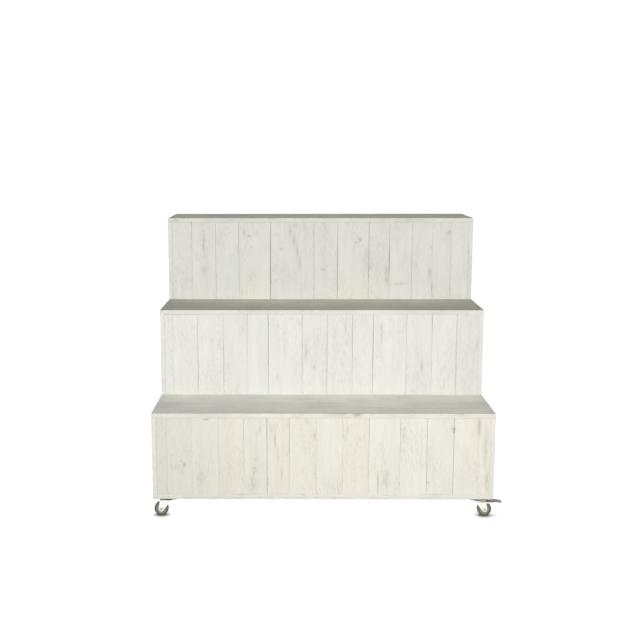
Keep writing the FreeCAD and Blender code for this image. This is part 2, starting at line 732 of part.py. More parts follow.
def make_axle(castor):
    """The axle bolt across the fork, and its nut."""
    bolt = castor.body("axle_bolt")
    shank = sketch(bolt, "shank", "YZ_Plane", ("0", WHEEL_RADIUS, "Sizes.castor_trail"))
    end = f"({FORK_OUTSIDE} + Sizes.axle_nut_height + Sizes.axle_end)"
    draw_box(shank, (f"-{FORK_OUTSIDE}", end), ("0", "Sizes.axle_diameter / 2"))
    turn(bolt, "Revolution", shank, "H_Axis")
    head = sketch(bolt, "head", "XZ_Plane", (*WHEEL_SHIFT[:2], FORK_OUTSIDE))
    draw_hexagon(head, "Sizes.axle_head_radius")
    feature(bolt, "Pad", head, "Sizes.axle_head_height")

    nut = castor.body("axle_nut")
    flats = sketch(nut, "flats", "XZ_Plane", (*WHEEL_SHIFT[:2], f"-({FORK_OUTSIDE} + Sizes.axle_nut_height)"))
    draw_hexagon(flats, "Sizes.axle_head_radius")
    draw_circle(flats, "Sizes.axle_diameter / 2 + Sizes.running_clearance")
    feature(nut, "Pad", flats, "Sizes.axle_nut_height")
    nodes[castor.label("axle")] = [bolt, nut]


def make_hub(castor):
    """The wheel's centre, with a boss that runs on the axle between the legs and a recess in each side."""
    body = castor.body("wheel_hub")
    disc = sketch(body, "disc", "XZ_Plane", WHEEL_SHIFT)
    draw_circle(disc, HUB_RADIUS)
    feature(body, "Pad", disc, "Sizes.hub_width", midplane=True)
    for side, normal in (("near", ""), ("far", "-")):
        depth = "Sizes.hub_recess_depth"
        floor = f"(Sizes.hub_width / 2 - {depth})"
        recess = sketch(body, f"{side}_recess", "YZ_Plane", ("0", WHEEL_RADIUS, "Sizes.castor_trail"))
        limits = sorted((f"{normal}{floor}", f"{normal}(Sizes.hub_width / 2)"), key=value)
        draw_box(recess, limits, ("Sizes.hub_boss_diameter / 2", f"{HUB_RADIUS} - Sizes.hub_rim"))
        turn(body, "Groove", recess, "H_Axis")
    boss = sketch(body, "boss", "XZ_Plane", WHEEL_SHIFT)
    draw_circle(boss, "Sizes.hub_boss_diameter / 2")
    feature(body, "Pad", boss, f"2 * ({FORK_INSIDE} - Sizes.free_clearance)", midplane=True)
    bore = sketch(body, "bore", "XZ_Plane", WHEEL_SHIFT)
    draw_circle(bore, "Sizes.axle_diameter / 2 + Sizes.running_clearance")
    feature(body, "Pocket", bore, f"3 * {FORK_OUTSIDE}", midplane=True)
    nodes[castor.label("wheel_hub")] = [body]


def make_tyre(castor):
    """The rubber tyre, round at its shoulders."""
    body = castor.body("tyre")
    ring = sketch(body, "ring", "XZ_Plane", WHEEL_SHIFT)
    draw_circle(ring, WHEEL_RADIUS)
    draw_circle(ring, HUB_RADIUS)
    feature(body, "Pad", ring, "Sizes.tyre_width", midplane=True)
    outside = value(WHEEL_RADIUS)
    round_edges(body, "Sizes.tyre_round", lambda edge: abs(getattr(edge.Curve, "Radius", 0) - outside) < HAIR)
    nodes[castor.label("tyre")] = [body]


def make_pedal(castor):
    """The brake pedal: a plate over the wheel with a flange down each side of the fork."""
    body = castor.body("brake_pedal")
    side = sketch(body, "side", "XZ_Plane")
    flange_end = "Sizes.pedal_flange_end"
    corners = [
        (PEDAL_BACK, PEDAL_FOOT),
        (flange_end, PEDAL_FOOT),
        (f"({flange_end} + Sizes.pedal_flange)", PEDAL_UNDER),
        ("Sizes.pedal_bend_x", PEDAL_UNDER),
        ("Sizes.pedal_tip_x", f"({PEDAL_TIP} - Sizes.pedal_plate)"),
        ("Sizes.pedal_tip_x", PEDAL_TIP),
        ("Sizes.pedal_bend_x", PEDAL_TOP),
        (PEDAL_BACK, PEDAL_TOP),
    ]
    draw_outline(side, corners)
    feature(body, "Pad", side, f"2 * {PEDAL_OUTSIDE}", midplane=True)

    inside = sketch(body, "inside", "XZ_Plane")
    before = f"({PEDAL_BACK} - Sizes.pedal_ear)"
    inside_x = (before, f"({flange_end} + Sizes.pedal_flange)")
    draw_box(inside, inside_x, (f"({PEDAL_FOOT} - Sizes.pedal_flange)", PEDAL_UNDER))
    feature(body, "Pocket", inside, f"2 * {PEDAL_INSIDE}", midplane=True)

    opening = sketch(body, "opening", "XY_Plane", ("0", "0", f"({PEDAL_TOP} + Sizes.pedal_plate)"))
    draw_box(opening, (before, PEDAL_PLATE_START), (f"-{PEDAL_INSIDE}", PEDAL_INSIDE))
    feature(body, "Pocket", opening, "3 * Sizes.pedal_plate")

    pin_hole = sketch(body, "pin_hole", "XZ_Plane", ("Sizes.pedal_pivot_x", PEDAL_PIVOT, "0"))
    draw_circle(pin_hole, "Sizes.brake_pin_diameter / 2 + Sizes.running_clearance")
    feature(body, "Pocket", pin_hole, f"3 * {PEDAL_OUTSIDE}", midplane=True)

    round_edges(body, "Sizes.pedal_tip_round", lambda edge: upright(edge) and at_x(edge, "Sizes.pedal_tip_x"))
    round_edges(body, "Sizes.pedal_ear_round", lambda edge: sideways(edge) and at_x(edge, PEDAL_BACK))
    nodes[castor.label("brake_pedal")] = [body]


def make_brake_pin(castor):
    """The riveted pin that the pedal tips on."""
    body = castor.body("brake_pin")
    profile = sketch(body, "profile", "YZ_Plane", ("0", PEDAL_PIVOT, "Sizes.pedal_pivot_x"))
    shank, head = "Sizes.brake_pin_diameter / 2", "Sizes.brake_pin_head_diameter / 2"
    under_head = f"({PEDAL_OUTSIDE} + Sizes.free_clearance)"
    end = f"({under_head} + Sizes.brake_pin_head_height)"
    corners = [
        (f"-{end}", "0"),
        (f"-{end}", head),
        (f"-{under_head}", head),
        (f"-{under_head}", shank),
        (under_head, shank),
        (under_head, head),
        (end, head),
        (end, "0"),
    ]
    draw_outline(profile, corners)
    turn(body, "Revolution", profile, "H_Axis")
    nodes[castor.label("brake_pin")] = [body]


def make_screws(castor):
    """Four pan head wood screws, up through the plate and the base into the sill."""
    screws = []
    for number, (x_side, y_side) in enumerate(itertools.product((-1, 1), repeat=2), start=1):
        shank = doc.addObject("Part::Cylinder", castor.label(f"screw_{number}_shank"))
        shank.setExpression("Radius", "Sizes.screw_diameter / 2")
        shank.setExpression("Height", "Sizes.screw_length - Sizes.screw_point + Sizes.screw_head_height")
        point = doc.addObject("Part::Cone", castor.label(f"screw_{number}_point"))
        point.setExpression("Radius1", "Sizes.screw_diameter / 2")
        point.Radius2 = 0
        point.setExpression("Height", "Sizes.screw_point")
        head = doc.addObject("Part::Cylinder", castor.label(f"screw_{number}_head"))
        head.setExpression("Radius", "Sizes.screw_head_diameter / 2")
        head.setExpression("Height", "Sizes.screw_head_height")
        head_foot = f"({PLATE_UNDER} - Sizes.screw_head_height)"
        point_foot = f"({PLATE_UNDER} + Sizes.screw_length - Sizes.screw_point)"
        for piece, foot in ((shank, head_foot), (head, head_foot), (point, point_foot)):
            piece.setExpression("Placement.Base.x", f"{castor.x} + {x_side} * Sizes.screw_spacing / 2")
            piece.setExpression("Placement.Base.y", f"{castor.y} + {y_side} * Sizes.screw_spacing / 2")
            piece.setExpression("Placement.Base.z", foot)
        screw = doc.addObject("Part::MultiFuse", castor.label(f"screw_{number}"))
        screw.Shapes = [shank, head, point]
        screws.append(screw)
    return screws


# ---------------------------------------------------------------------------------------------------------
# The whole table.
# ---------------------------------------------------------------------------------------------------------

make_base()
make_treads()
make_fronts()
make_sides()
make_back()
make_frame()
TIMBER = list(nodes)

castor_screws = []
for castor in (
    Castor("front_left", right=False, rear=False, braked=False),
    Castor("front_right", right=True, rear=False, braked=True),
    Castor("rear_left", right=False, rear=True, braked=True),
    Castor("rear_right", right=True, rear=True, braked=False),
):
    make_plate(castor)
    make_kingpin(castor)
    make_balls(castor)
    make_fork(castor)
    make_axle(castor)
    make_hub(castor)
    make_tyre(castor)
    if castor.braked:
        make_pedal(castor)
        make_brake_pin(castor)
    castor_screws += make_screws(castor)
nodes["castor_screws"] = castor_screws
nodes["cladding_nails"] = nails


def finish_node(label, pieces):
    """The one object that a node is written from: its pieces together, with every nail and screw hole."""
    if len(pieces) == 1:
        whole = pieces[0]
    else:
        whole = doc.addObject("Part::Compound", f"{label}_pieces")
        whole.Links = pieces
    if label in TIMBER:
        drilled = doc.addObject("Part::Cut", f"{label}_drilled")
        drilled.Base = whole
        drilled.Tool = fasteners
        whole = drilled
    whole.Label = label
    return whole


fasteners = doc.addObject("Part::Compound", "fasteners")
fasteners.Links = nails + castor_screws
finished = {label: finish_node(label, pieces) for label, pieces in nodes.items()}
doc.recompute()

for item in doc.Objects:
    if {"Invalid", "Error"} & set(item.State):
        raise RuntimeError(f"{item.Name} failed: {item.State}")
os.makedirs("parts", exist_ok=True)
for label, item in finished.items():
    if item.Shape.isNull() or not item.Shape.isValid():
        raise RuntimeError(f"{label} has no valid shape")
    item.Shape.exportStep(f"parts/{label}.step")
print(len(finished), "nodes,", sum(len(item.Shape.Solids) for item in finished.values()), "solids")
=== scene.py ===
"""Looks of a tiered display table: whitewash brushed on sawn softwood boards, and zinc plated castors.

Metres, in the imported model's own frame: +Z up, +X to the right, the front faces -Y, the origin on the floor.
"""

import math
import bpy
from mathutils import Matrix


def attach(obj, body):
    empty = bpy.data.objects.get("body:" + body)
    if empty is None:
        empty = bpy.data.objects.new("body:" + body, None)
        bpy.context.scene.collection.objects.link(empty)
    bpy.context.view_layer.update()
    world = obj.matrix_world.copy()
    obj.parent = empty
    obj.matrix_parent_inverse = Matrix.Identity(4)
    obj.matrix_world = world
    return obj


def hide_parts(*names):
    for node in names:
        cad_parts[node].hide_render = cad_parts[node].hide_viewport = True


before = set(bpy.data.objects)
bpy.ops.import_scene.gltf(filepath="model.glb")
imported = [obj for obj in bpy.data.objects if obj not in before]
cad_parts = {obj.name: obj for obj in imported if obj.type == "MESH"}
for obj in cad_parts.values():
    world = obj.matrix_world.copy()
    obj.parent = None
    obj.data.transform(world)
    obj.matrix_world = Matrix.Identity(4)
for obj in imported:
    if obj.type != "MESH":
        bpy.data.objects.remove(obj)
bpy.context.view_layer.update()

import zlib
from dataclasses import dataclass

import bpy
import numpy as np
from mathutils import Vector

MM = 0.001
AXES = {"x": Vector((1, 0, 0)), "y": Vector((0, 1, 0)), "z": Vector((0, 0, 1))}
SAME_POINT = 0.01 * MM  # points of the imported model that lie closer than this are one


# ---------- The faces of the table, and what shows on their boards ----------


def solids_of(node):
    """The low and high corner of each separate solid in a CAD node."""
    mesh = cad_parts[node].data
    places = np.empty(len(mesh.vertices) * 3)
    mesh.vertices.foreach_get("co", places)
    places = places.reshape(-1, 3)
    whole = np.round(places / SAME_POINT).astype(int)
    corner = np.unique(whole, axis=0, return_inverse=True)[1].ravel()
    ends = np.empty(len(mesh.edges) * 2, int)
    mesh.edges.foreach_get("vertices", ends)
    start, end = corner[ends.reshape(-1, 2)].T
    solid = np.arange(corner.max() + 1)
    while True:
        lowest = np.minimum(solid[start], solid[end])
        joined = solid.copy()
        np.minimum.at(joined, start, lowest)
        np.minimum.at(joined, end, lowest)
        joined = joined[joined]
        if (joined == solid).all():
            break
        solid = joined
    owner = solid[corner]
    return [(places[owner == one].min(axis=0), places[owner == one].max(axis=0)) for one in np.unique(owner)]


@dataclass
class Face:
    """One face of the table: the axes along which its boards lie side by side, run and look out, and whether
    they look toward the low end (-1) or the high end (1) of the last."""

    node: str
    piece: str
    across: str
    along: str
    out: str
    outward: int
    finish: str


TIERS, STEPS = ("lower", "middle", "upper"), ("lower", "middle", "top")
FACES = [
    *(Face(f"{tier}_front_boards", f"{tier}_front_board", "x", "z", "y", -1, "upright") for tier in TIERS),
    *(
        Face(f"{side}_side_{tier}_boards", f"{side}_side_{tier}_board", "y", "z", "x", outward, "upright")
        for side, outward in (("left", -1), ("right", 1))
        for tier in TIERS
    ),
    Face("back_boards", "back_board", "x", "z", "y", 1, "upright"),
    *(Face(f"{step}_tread", f"{step}_tread_plank", "y", "x", "z", 1, "tread") for step in STEPS),
    Face("base_boards", "base_plank", "y", "x", "z", -1, "upright"),
]
HALF_WIDTH = round(float(max(high[0] for low, high in solids_of("base_boards"))), 4)


@dataclass
class Mark:
    """A knot, a split, a stain or a nail hole in a board's face. u is across the board and v along it, from
    its low corner. wide and tall are half sizes."""

    kind: str
    u: float
    v: float
    wide: float = MM
    tall: float = MM
    dark: float = 1.0


# Knots, splits and stains laid down for the fronts and the treads, in millimetres: distance from the left
# end, height above the floor (on a tread, distance behind its front edge), half width, half height and
# darkness.
LAID_MARKS = {
    "upper_front_boards": {
        "knot": [
            (755, 936, 9, 10, 1.0), (615, 815, 11, 8, 0.7), (1037, 904, 6, 6, 0.8),
            (1109, 960, 8, 9, 0.9), (826, 764, 5, 5, 0.45),
        ],
        "stain": [
            (742, 925, 12, 5, 0.5), (481, 965, 6, 22, 0.5), (497, 935, 6, 26, 0.6),
            (510, 892, 6, 30, 0.7), (519, 845, 8, 30, 0.5), (500, 990, 12, 8, 0.5),
            (540, 985, 8, 10, 0.4), (300, 962, 4, 14, 0.6), (318, 950, 12, 5, 0.5),
            (350, 960, 4, 16, 0.6), (1034, 800, 7, 22, 0.6), (1044, 738, 3.5, 24, 0.6),
            (912, 761, 24, 5, 0.65), (141, 925, 4, 44, 0.6), (864, 792, 7, 38, 0.6),
            (142, 815, 10, 12, 0.5), (780, 860, 16, 50, 0.25), (797, 822, 8, 9, 0.5),
            (791, 793, 3, 7, 0.5), (973, 834, 8, 15, 0.3), (405, 767, 3, 7, 0.6),
            (428, 954, 6, 7, 0.4), (446, 898, 16, 6, 0.35), (200, 920, 5, 9, 0.35),
            (271, 903, 6, 13, 0.3),
        ],
    },
    "middle_front_boards": {
        "knot": [
            (573, 482, 9, 10, 0.8), (460, 613, 7, 8, 0.55), (691, 580, 10, 13, 0.4),
            (725, 515, 7, 8, 0.5), (1056, 476, 8, 8, 0.6), (217, 575, 7, 8, 0.5),
        ],
        "split": [
            (823, 617, 1.2, 42, 0.6), (435, 446, 0.8, 15, 0.5),
        ],
        "stain": [
            (542, 545, 5, 34, 0.6), (974, 490, 6, 30, 0.6), (688, 637, 4, 19, 0.5),
            (687, 536, 6, 10, 0.5), (937, 652, 2.5, 13, 0.5), (1034, 540, 3, 45, 0.3),
            (1178, 580, 5, 11, 0.4), (1168, 525, 4, 32, 0.35), (868, 532, 2.5, 40, 0.3),
            (124, 637, 7, 11, 0.35), (516, 652, 8, 8, 0.35), (462, 558, 3, 38, 0.3),
            (307, 630, 9, 14, 0.25),
        ],
    },
    "lower_front_boards": {
        "knot": [
            (193, 360, 11, 4, 1.7), (104, 206, 8, 6, 0.7), (153, 201, 8, 6, 0.5),
            (360, 183, 11, 14, 0.9), (1055, 327, 7, 7, 2.4), (1055, 313, 5, 5, 2.1),
            (524, 176, 9, 9, 0.35), (967, 131, 6, 7, 1.0), (710, 136, 8, 8, 0.4),
        ],
        "split": [
            (793, 133, 1.2, 46, 0.9), (379, 326, 0.9, 15, 0.7),
        ],
        "stain": [
            (112, 196, 6, 8, 0.8), (168, 146, 12, 34, 0.3), (352, 120, 14, 30, 0.4),
            (570, 300, 5, 14, 0.8), (1143, 336, 9, 32, 0.7), (1167, 258, 9, 62, 0.6),
            (1176, 140, 8, 50, 0.5), (880, 310, 8, 22, 0.5), (820, 135, 13, 34, 0.5),
            (432, 285, 3.5, 30, 0.6), (443, 228, 3.5, 26, 0.6), (310, 87, 18, 3, 0.6),
            (522, 87, 14, 3, 0.6), (994, 87, 32, 3, 0.7), (408, 126, 3, 13, 0.5),
            (420, 321, 3, 20, 0.5), (453, 158, 4, 28, 0.45), (544, 350, 7, 9, 0.5),
            (507, 270, 3.5, 5, 0.5), (366, 297, 2.5, 30, 0.35), (688, 324, 6, 11, 0.4),
        ],
    },
    "lower_tread": {
        "stain": [
            (718, 1, 15, 3, 1.3), (640, 1, 26, 2.5, 0.7), (1078, 1, 26, 2.5, 0.8),
            (420, 30, 80, 12, 0.3),
        ],
    },
    "middle_tread": {
        "stain": [
            (240, 60, 90, 14, 0.3), (700, 40, 110, 12, 0.3),
        ],
    },
}

# Gaps between front boards in millimetres, at even steps from the foot of each joint to its head, after the
# board whose number is given. The paint all but closes the others.
FRONT_JOINTS = {
    "upper_front_boards": {
        1: (0.1, 0.1, 0.25, 0.5, 0.6),
        2: (0.5, 0.7, 0.55, 0.5, 0.25),
        3: (0.3, 0.5, 0.55, 0.7, 0.5),
        4: (1.25, 1.5, 1.5, 1.25, 0.45),
        5: (0.55, 0.7, 0.6, 0.5, 0.5),
        6: (0.55, 1.05, 1.05, 0.85, 0.2),
        7: (0.25, 0.55, 0.85, 0.8, 1.05),
        8: (0.1, 0.35, 2.2, 0.45, 0.1),
        9: (0.25, 0.7, 0.45, 0.35, 0.25),
        10: (0.5, 0.25, 0.1, 0.25, 0.1),
        11: (0.1, 0.4, 0.4, 0.3, 0.25),
    },
    "middle_front_boards": {
        2: (0.2, 0.7, 0.7, 0.45, 0.3),
        3: (0.3, 0.7, 0.7, 0.2, 0.2),
        4: (0.1, 0.1, 0.2, 0.3, 0.45),
        5: (0.25, 0.55, 0.95, 0.95, 1.15),
        6: (0.25, 0.3, 0.7, 0.7, 0.7),
        7: (0.45, 0.6, 0.55, 0.7, 0.55),
        8: (0.1, 0.25, 0.9, 0.7, 0.45),
        9: (0.55, 0.95, 1.15, 1.25, 0.55),
        10: (0.3, 0.5, 0.25, 0.45, 0.8),
        11: (0.1, 0.45, 0.25, 0.6, 0.95),
        12: (0.45, 0.55, 0.5, 0.8, 0.95),
    },
    "lower_front_boards": {
        3: (0.45, 0.2, 0.2, 0.25, 0.25),
        4: (0.1, 0.1, 0.2, 0.55, 0.45),
        5: (0.7, 0.85, 0.95, 0.95, 0.7),
        6: (0.1, 0.2, 0.4, 0.8, 0.45),
        7: (0.25, 0.25, 0.25, 0.25, 0.5),
        8: (0.25, 0.2, 0.25, 0.3, 0.55),
        9: (0.2, 0.25, 0.25, 0.7, 0.7),
        10: (0.1, 0.25, 0.3, 0.5, 0.55),
        11: (0.3, 0.8, 0.45, 0.45, 0.55),
        12: (0.55, 0.8, 0.85, 0.6, 0.95),
        13: (0.1, 0.1, 0.1, 0.25, 0.55),
    },
}
# Boards whose heads were cut short of the tread above, in millimetres.
SHORT_BOARDS = {"middle_front_boards": {1: 0.3, 2: 0.4, 3: 0.2, 11: 0.1, 12: 0.2}}
# The paint's colour on the boards of each face, and on the edges of the same boards. The treads' face colours
# are painted light and shade: lighter and darker copies of the whitewash for how light falls on each level
# top, while their edges keep the fronts' colours.
CREAM, PALE_CREAM, GREY_CREAM = (0.802, 0.780, 0.712), (0.828, 0.806, 0.738), (0.758, 0.737, 0.673)
WHITE, SOFT_WHITE, GREY_WHITE = (0.792, 0.790, 0.757), (0.785, 0.779, 0.730), (0.769, 0.772, 0.720)
TONES = {
    "lower_front_boards": (CREAM, CREAM),
    "middle_front_boards": (WHITE, WHITE),
    "upper_front_boards": (GREY_WHITE, GREY_WHITE),
    # Painted light and shade: the treads' top faces, drawn lighter or darker than the fronts' whitewash.
    "lower_tread": ((0.912, 0.932, 0.855), CREAM),
    "middle_tread": ((0.678, 0.682, 0.587), WHITE),
    "top_tread": ((0.816, 0.832, 0.750), GREY_WHITE),
    "left_side_lower_boards": (SOFT_WHITE, GREY_CREAM),
    "right_side_lower_boards": (SOFT_WHITE, CREAM),
    "left_side_upper_boards": (SOFT_WHITE, GREY_WHITE),
    "right_side_upper_boards": (SOFT_WHITE, GREY_WHITE),
    "base_boards": (CREAM, PALE_CREAM),
}
OTHER_TONE = (SOFT_WHITE, WHITE)
# How far the paint of a face darkens toward its left end, and toward both ends of a tread.
LEFT_END_DARKENING = {"lower_front_boards": 0.1, "lower_tread": 0.04, "base_boards": 0.1}
TREAD_END_DARKENING = {"middle_tread": 0.13, "top_tread": 0.1}
RUBBED_LENGTH, RUBBED_SHARE = 0.6, 0.06  # the longest patch rubbed on a tread, and how much lighter it is
# Painted light and shade: how far the boards of a front are drawn lighter toward the foot and darker toward
# the head.
PAINTED_FOOT_LIGHT = {"upper_front_boards": 0.1, "middle_front_boards": 0.05, "lower_front_boards": 0.02}
# Painted light: how much lighter or darker each plank of a tread is drawn, from the front one back, for light
# that falls unevenly across the tread.
PAINTED_PLANK_LIGHT = {
    "lower_tread": (1.04, 1.04, 1.065),
    "middle_tread": (0.96, 1.02, 1.10),
    "top_tread": (1.15, 1.07, 1.04),
}


# ---------- How a board is cut and worn ----------

PACKED_GAP = 1.0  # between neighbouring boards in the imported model, in millimetres

# Where a board's mesh is cut: in from each arris, and round each mark in the mark's own half sizes.
ARRIS_CUTS = np.array([0.0, 0.45, 1.1, 2.1, 3.6]) * MM
PITCH_ACROSS, PITCH_ALONG = 11 * MM, 16 * MM
CLEAR_OF_ARRIS, CLOSEST_CUTS = 4.2 * MM, 0.4 * MM
NAIL_CUTS = np.array([-2.0, -1.1, 0.0, 1.1, 2.0])
KNOT_CUTS = np.array([-1.7, -1.3, -1.0, -0.75, -0.5, -0.25, 0.0, 0.25, 0.5, 0.75, 1.0, 1.3, 1.7])
STAIN_CUTS = np.array([-1.8, -1.2, -0.6, 0.0, 0.6, 1.2, 1.8])
MARK_CUTS = {
    "nail": (NAIL_CUTS, NAIL_CUTS),
    "knot": (KNOT_CUTS, KNOT_CUTS),
    "stain": (STAIN_CUTS, STAIN_CUTS),
    "split": (np.array([-2.5, -1.0, -0.45, 0.0, 0.45, 1.0, 2.5]), np.linspace(-1, 1, 9)),
}

RIM_WEAR = 2.2 * MM  # how far in from an arris the paint rubs thin
SQUARE, LEVEL_END_ARRIS, ROUNDEST = 0.15, 0.7, 1.8  # how round an arris is, in millimetres
FINE_ARRIS, FINE_CUT, FINE_FOOT = 0.03, 0.12, 0.15  # for the tight joint between the base and the front
SUNK = 0.12 * MM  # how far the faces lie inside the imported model's, which leaves room for cupping
NAIL_DIMPLE, SPLIT_DEPTH = 0.55 * MM, 2.0 * MM
EDGE_REACH = 12 * MM  # how far in from a crooked edge or end the board is drawn with it


def dice(name):
    """Random numbers that are always the same for one piece."""
    return np.random.default_rng(zlib.crc32(name.encode()))


def waves(rng, at, longest, reach):
    """A smooth uneven line: four waves of falling length, each with its own phase."""
    line = np.zeros_like(at)
    for step in range(4):
        line += np.sin(at * 2 * math.pi * 1.83**step / longest + rng.uniform(0, 2 * math.pi)) * 0.7**step
    return line * reach / 2.0


def smooth(low, high, at):
    """0 below low, 1 above high and an easy curve between."""
    t = np.clip((at - low) / (high - low), 0, 1)
    return t * t * (3 - 2 * t)


def cuts(length, pitch, near):
    """Where a board's mesh is cut along one axis: close together at the arrises and round each mark."""
    count = max(2, round(length / pitch))
    lines = np.sort(np.concatenate([np.arange(1, count) * length / count, *near]))
    kept = []
    for line in lines[(lines > CLEAR_OF_ARRIS) & (lines < length - CLEAR_OF_ARRIS)]:
        if not kept or line - kept[-1] > CLOSEST_CUTS:
            kept.append(line)
    return np.concatenate([ARRIS_CUTS, kept, length - ARRIS_CUTS[::-1]])


def block(u, v, w):
    """The surface of a block cut along three sets of lines: the lattice indices of its vertices, and its
    faces. The inner face, at the lowest w, has no cuts between its edges."""
    nu, nv, nw = len(u), len(v), len(w)
    skin = np.zeros((nu, nv, nw), bool)
    skin[[0, -1], :, :] = skin[:, [0, -1], :] = skin[:, :, -1] = True
    number = np.cumsum(skin).reshape(skin.shape) - 1
    where = np.nonzero(skin)
    faces = []

    def strip(sheet, turned):
        a, b, c, d = sheet[:-1, :-1], sheet[1:, :-1], sheet[1:, 1:], sheet[:-1, 1:]
        quads = np.stack([a, d, c, b] if turned else [a, b, c, d], axis=-1).reshape(-1, 4)
        faces.extend(quads.tolist())

    strip(number[:, :, -1], False)
    strip(number[:, 0, :], False)
    strip(number[:, -1, :], True)
    strip(number[0, :, :], True)
    strip(number[-1, :, :], False)
    inside = number[:, :, 0]
    faces.append([*inside[::-1, 0], inside[0, 1], inside[-1, 1]])
    faces += [[inside[0, j], inside[0, j + 1], inside[-1, j + 1], inside[-1, j]] for j in range(1, nv - 2)]
    faces.append([inside[-1, -2], inside[0, -2], *inside[:, -1]])
    return where, faces


def rounded(place, size, radius):
    """Moves points of a block's surface so that its arrises and corners are round."""
    core = np.clip(place, radius[:, None], size - radius[:, None])
    away = place - core
    far = np.linalg.norm(away, axis=1)
    far[far == 0] = 1
    return core + away * np.minimum(1, radius / far)[:, None]


@dataclass(frozen=True)
class Joint:
    """The joint along one long edge of a board, in millimetres: its gaps at even steps along it, the gap
    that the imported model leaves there, and how round the arris is beside it."""

    gaps: tuple = (0.1,)
    packed: float = PACKED_GAP
    arris: float = 0.2

    def gap(self, at, length):
        return np.interp(at, np.linspace(0, length, len(self.gaps)), self.gaps)


BESIDE_WALL = Joint(packed=0.0)
CORNER = Joint(packed=0.0, arris=0.8)
TREAD_CORNER = Joint(packed=0.0, arris=0.4)
BASE_CORNER = Joint(packed=0.0, arris=0.2)


@dataclass
class Board:
    """One board as it comes to the bench. Its size is in metres, and how its ends are cut in millimetres:
    the nearer the mesh's first cut is to the foot or to the inner face, the finer the joint looks there."""

    name: str
    size: np.ndarray
    marks: list
    low_joint: Joint
    high_joint: Joint
    end_arris: float = SQUARE
    inner_arris: float = 0.2
    inner_cut: float = 1.0
    foot_cut: float = 0.45
    short: float = 0.0
    # painted light: how much lighter or darker the board's face is drawn, set for a tread's planks
    shade: float = 1.0


def mesh_lines(board):
    """Where the board's mesh is cut across, along and through the board."""
    width, length, thick = board.size
    u_near = [mark.u + MARK_CUTS[mark.kind][0] * mark.wide for mark in board.marks]
    v_near = [mark.v + MARK_CUTS[mark.kind][1] * mark.tall for mark in board.marks]
    u_lines, v_lines = cuts(width, PITCH_ACROSS, u_near), cuts(length, PITCH_ALONG, v_near)
    v_lines[1] = board.foot_cut * MM
    w_lines = np.concatenate([[0, board.inner_cut * MM], thick - ARRIS_CUTS[3::-1]])
    return u_lines, v_lines, w_lines


def arris_radius(board, rng, u, v, w):
    """How round the nearest arris is, for each point of the board's surface."""
    width, length, thick = board.size
    low_side = u < width / 2
    gap = np.where(low_side, board.low_joint.gap(v, length), board.high_joint.gap(v, length))
    arris = np.where(low_side, board.low_joint.arris, board.high_joint.arris)
    ragged = waves(rng, v, 120 * MM, 0.3) + waves(rng, v + 3 * u, 31 * MM, 0.25)
    radius = arris + 0.35 * gap + ragged * (0.1 + 0.5 * gap + 0.3 * arris)
    at_end = np.minimum(v, length - v) < ARRIS_CUTS[-1]
    radius = np.where(at_end, np.maximum(board.end_arris, arris), radius)
    return np.where(w < thick / 2, board.inner_arris, np.clip(radius, SQUARE, ROUNDEST)) * MM


def cupping(board, rng, u, v):
    """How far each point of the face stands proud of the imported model's: cupped, wavy and a little sunk."""
    across = u / board.size[0]
    cup = rng.uniform(-0.25, 0.15) * MM * (1 - (2 * across - 1) ** 2)
    rise = cup - SUNK + waves(rng, v, 420 * MM, 0.12 * MM) * np.cos(across * 3 + rng.uniform(0, 6))
    return rise + waves(rng, v, 70 * MM, 0.05 * MM) * np.sin(u / (17 * MM) + rng.uniform(0, 6))


def lay_marks(marks, u, v):
    """How far the marks raise each point of the face, and how much knot and stain they leave there."""
    rise, knot, stain = np.zeros((3, len(u)))
    for mark in marks:
        du, dv = u - mark.u, v - mark.v
        off = np.hypot(du / mark.wide, dv / mark.tall)
        if mark.kind == "nail":
            rise -= NAIL_DIMPLE * (1 - smooth(0.9, 1.9, off))
            left = 0.15 * np.exp(-((off / 2.4) ** 2))
        elif mark.kind == "knot":
            knot = np.maximum(knot, np.clip(1 - off / 1.7, 0, 1))
            heart, ring = np.exp(-((off / 0.45) ** 2)), np.exp(-(((off - 0.95) / 0.2) ** 2))
            ring *= 0.55 + 0.45 * np.sin(np.arctan2(dv, du) + mark.v / MM)  # darker on one side
            rise += (0.15 * (1 - smooth(0.2, 1.0, off)) - 0.2 * ring) * MM
            left = mark.dark * np.maximum(heart, 0.6 * ring)
        elif mark.kind == "stain":
            left = mark.dark * np.exp(-(off**2))
        else:
            open_here = np.clip(1 - (dv / mark.tall) ** 2, 0, 1) ** 0.5
            half_gap = mark.wide * np.maximum(open_here, 0.25)
            rise -= SPLIT_DEPTH * np.clip(1 - np.abs(du) / half_gap, 0, 1) * open_here
            left = mark.dark * 0.8 * np.exp(-((du / (2.2 * mark.wide)) ** 2)) * open_here
        stain = np.maximum(stain, left)
    return rise, knot, stain


def worn_edge(rng, at, gap, packed):
    """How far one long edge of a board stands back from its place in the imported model, along its length."""
    ragged = waves(rng, at, 90 * MM, 0.25) + waves(rng, at, 23 * MM, 0.2)
    return ((gap - packed) / 2 + ragged * (0.1 + 0.5 * gap)) * MM


def shift_edges(board, rng, u, v):
    """How far the points near the board's edges and ends move, across it and along it."""
    width, length, _ = board.size
    low = worn_edge(rng, v, board.low_joint.gap(v, length), board.low_joint.packed)
    high = worn_edge(rng, v, board.high_joint.gap(v, length), board.high_joint.packed)
    reach = min(EDGE_REACH, width / 3)
    across = low * (1 - smooth(0, reach, u)) - high * smooth(width - reach, width, u)
    foot = waves(rng, u, 160 * MM, 0.06 * MM)
    head = waves(rng, u, 160 * MM, 0.06 * MM) + board.short * MM
    along = foot * (1 - smooth(0, EDGE_REACH, v)) - head * smooth(length - EDGE_REACH, length, v)
    return across, along


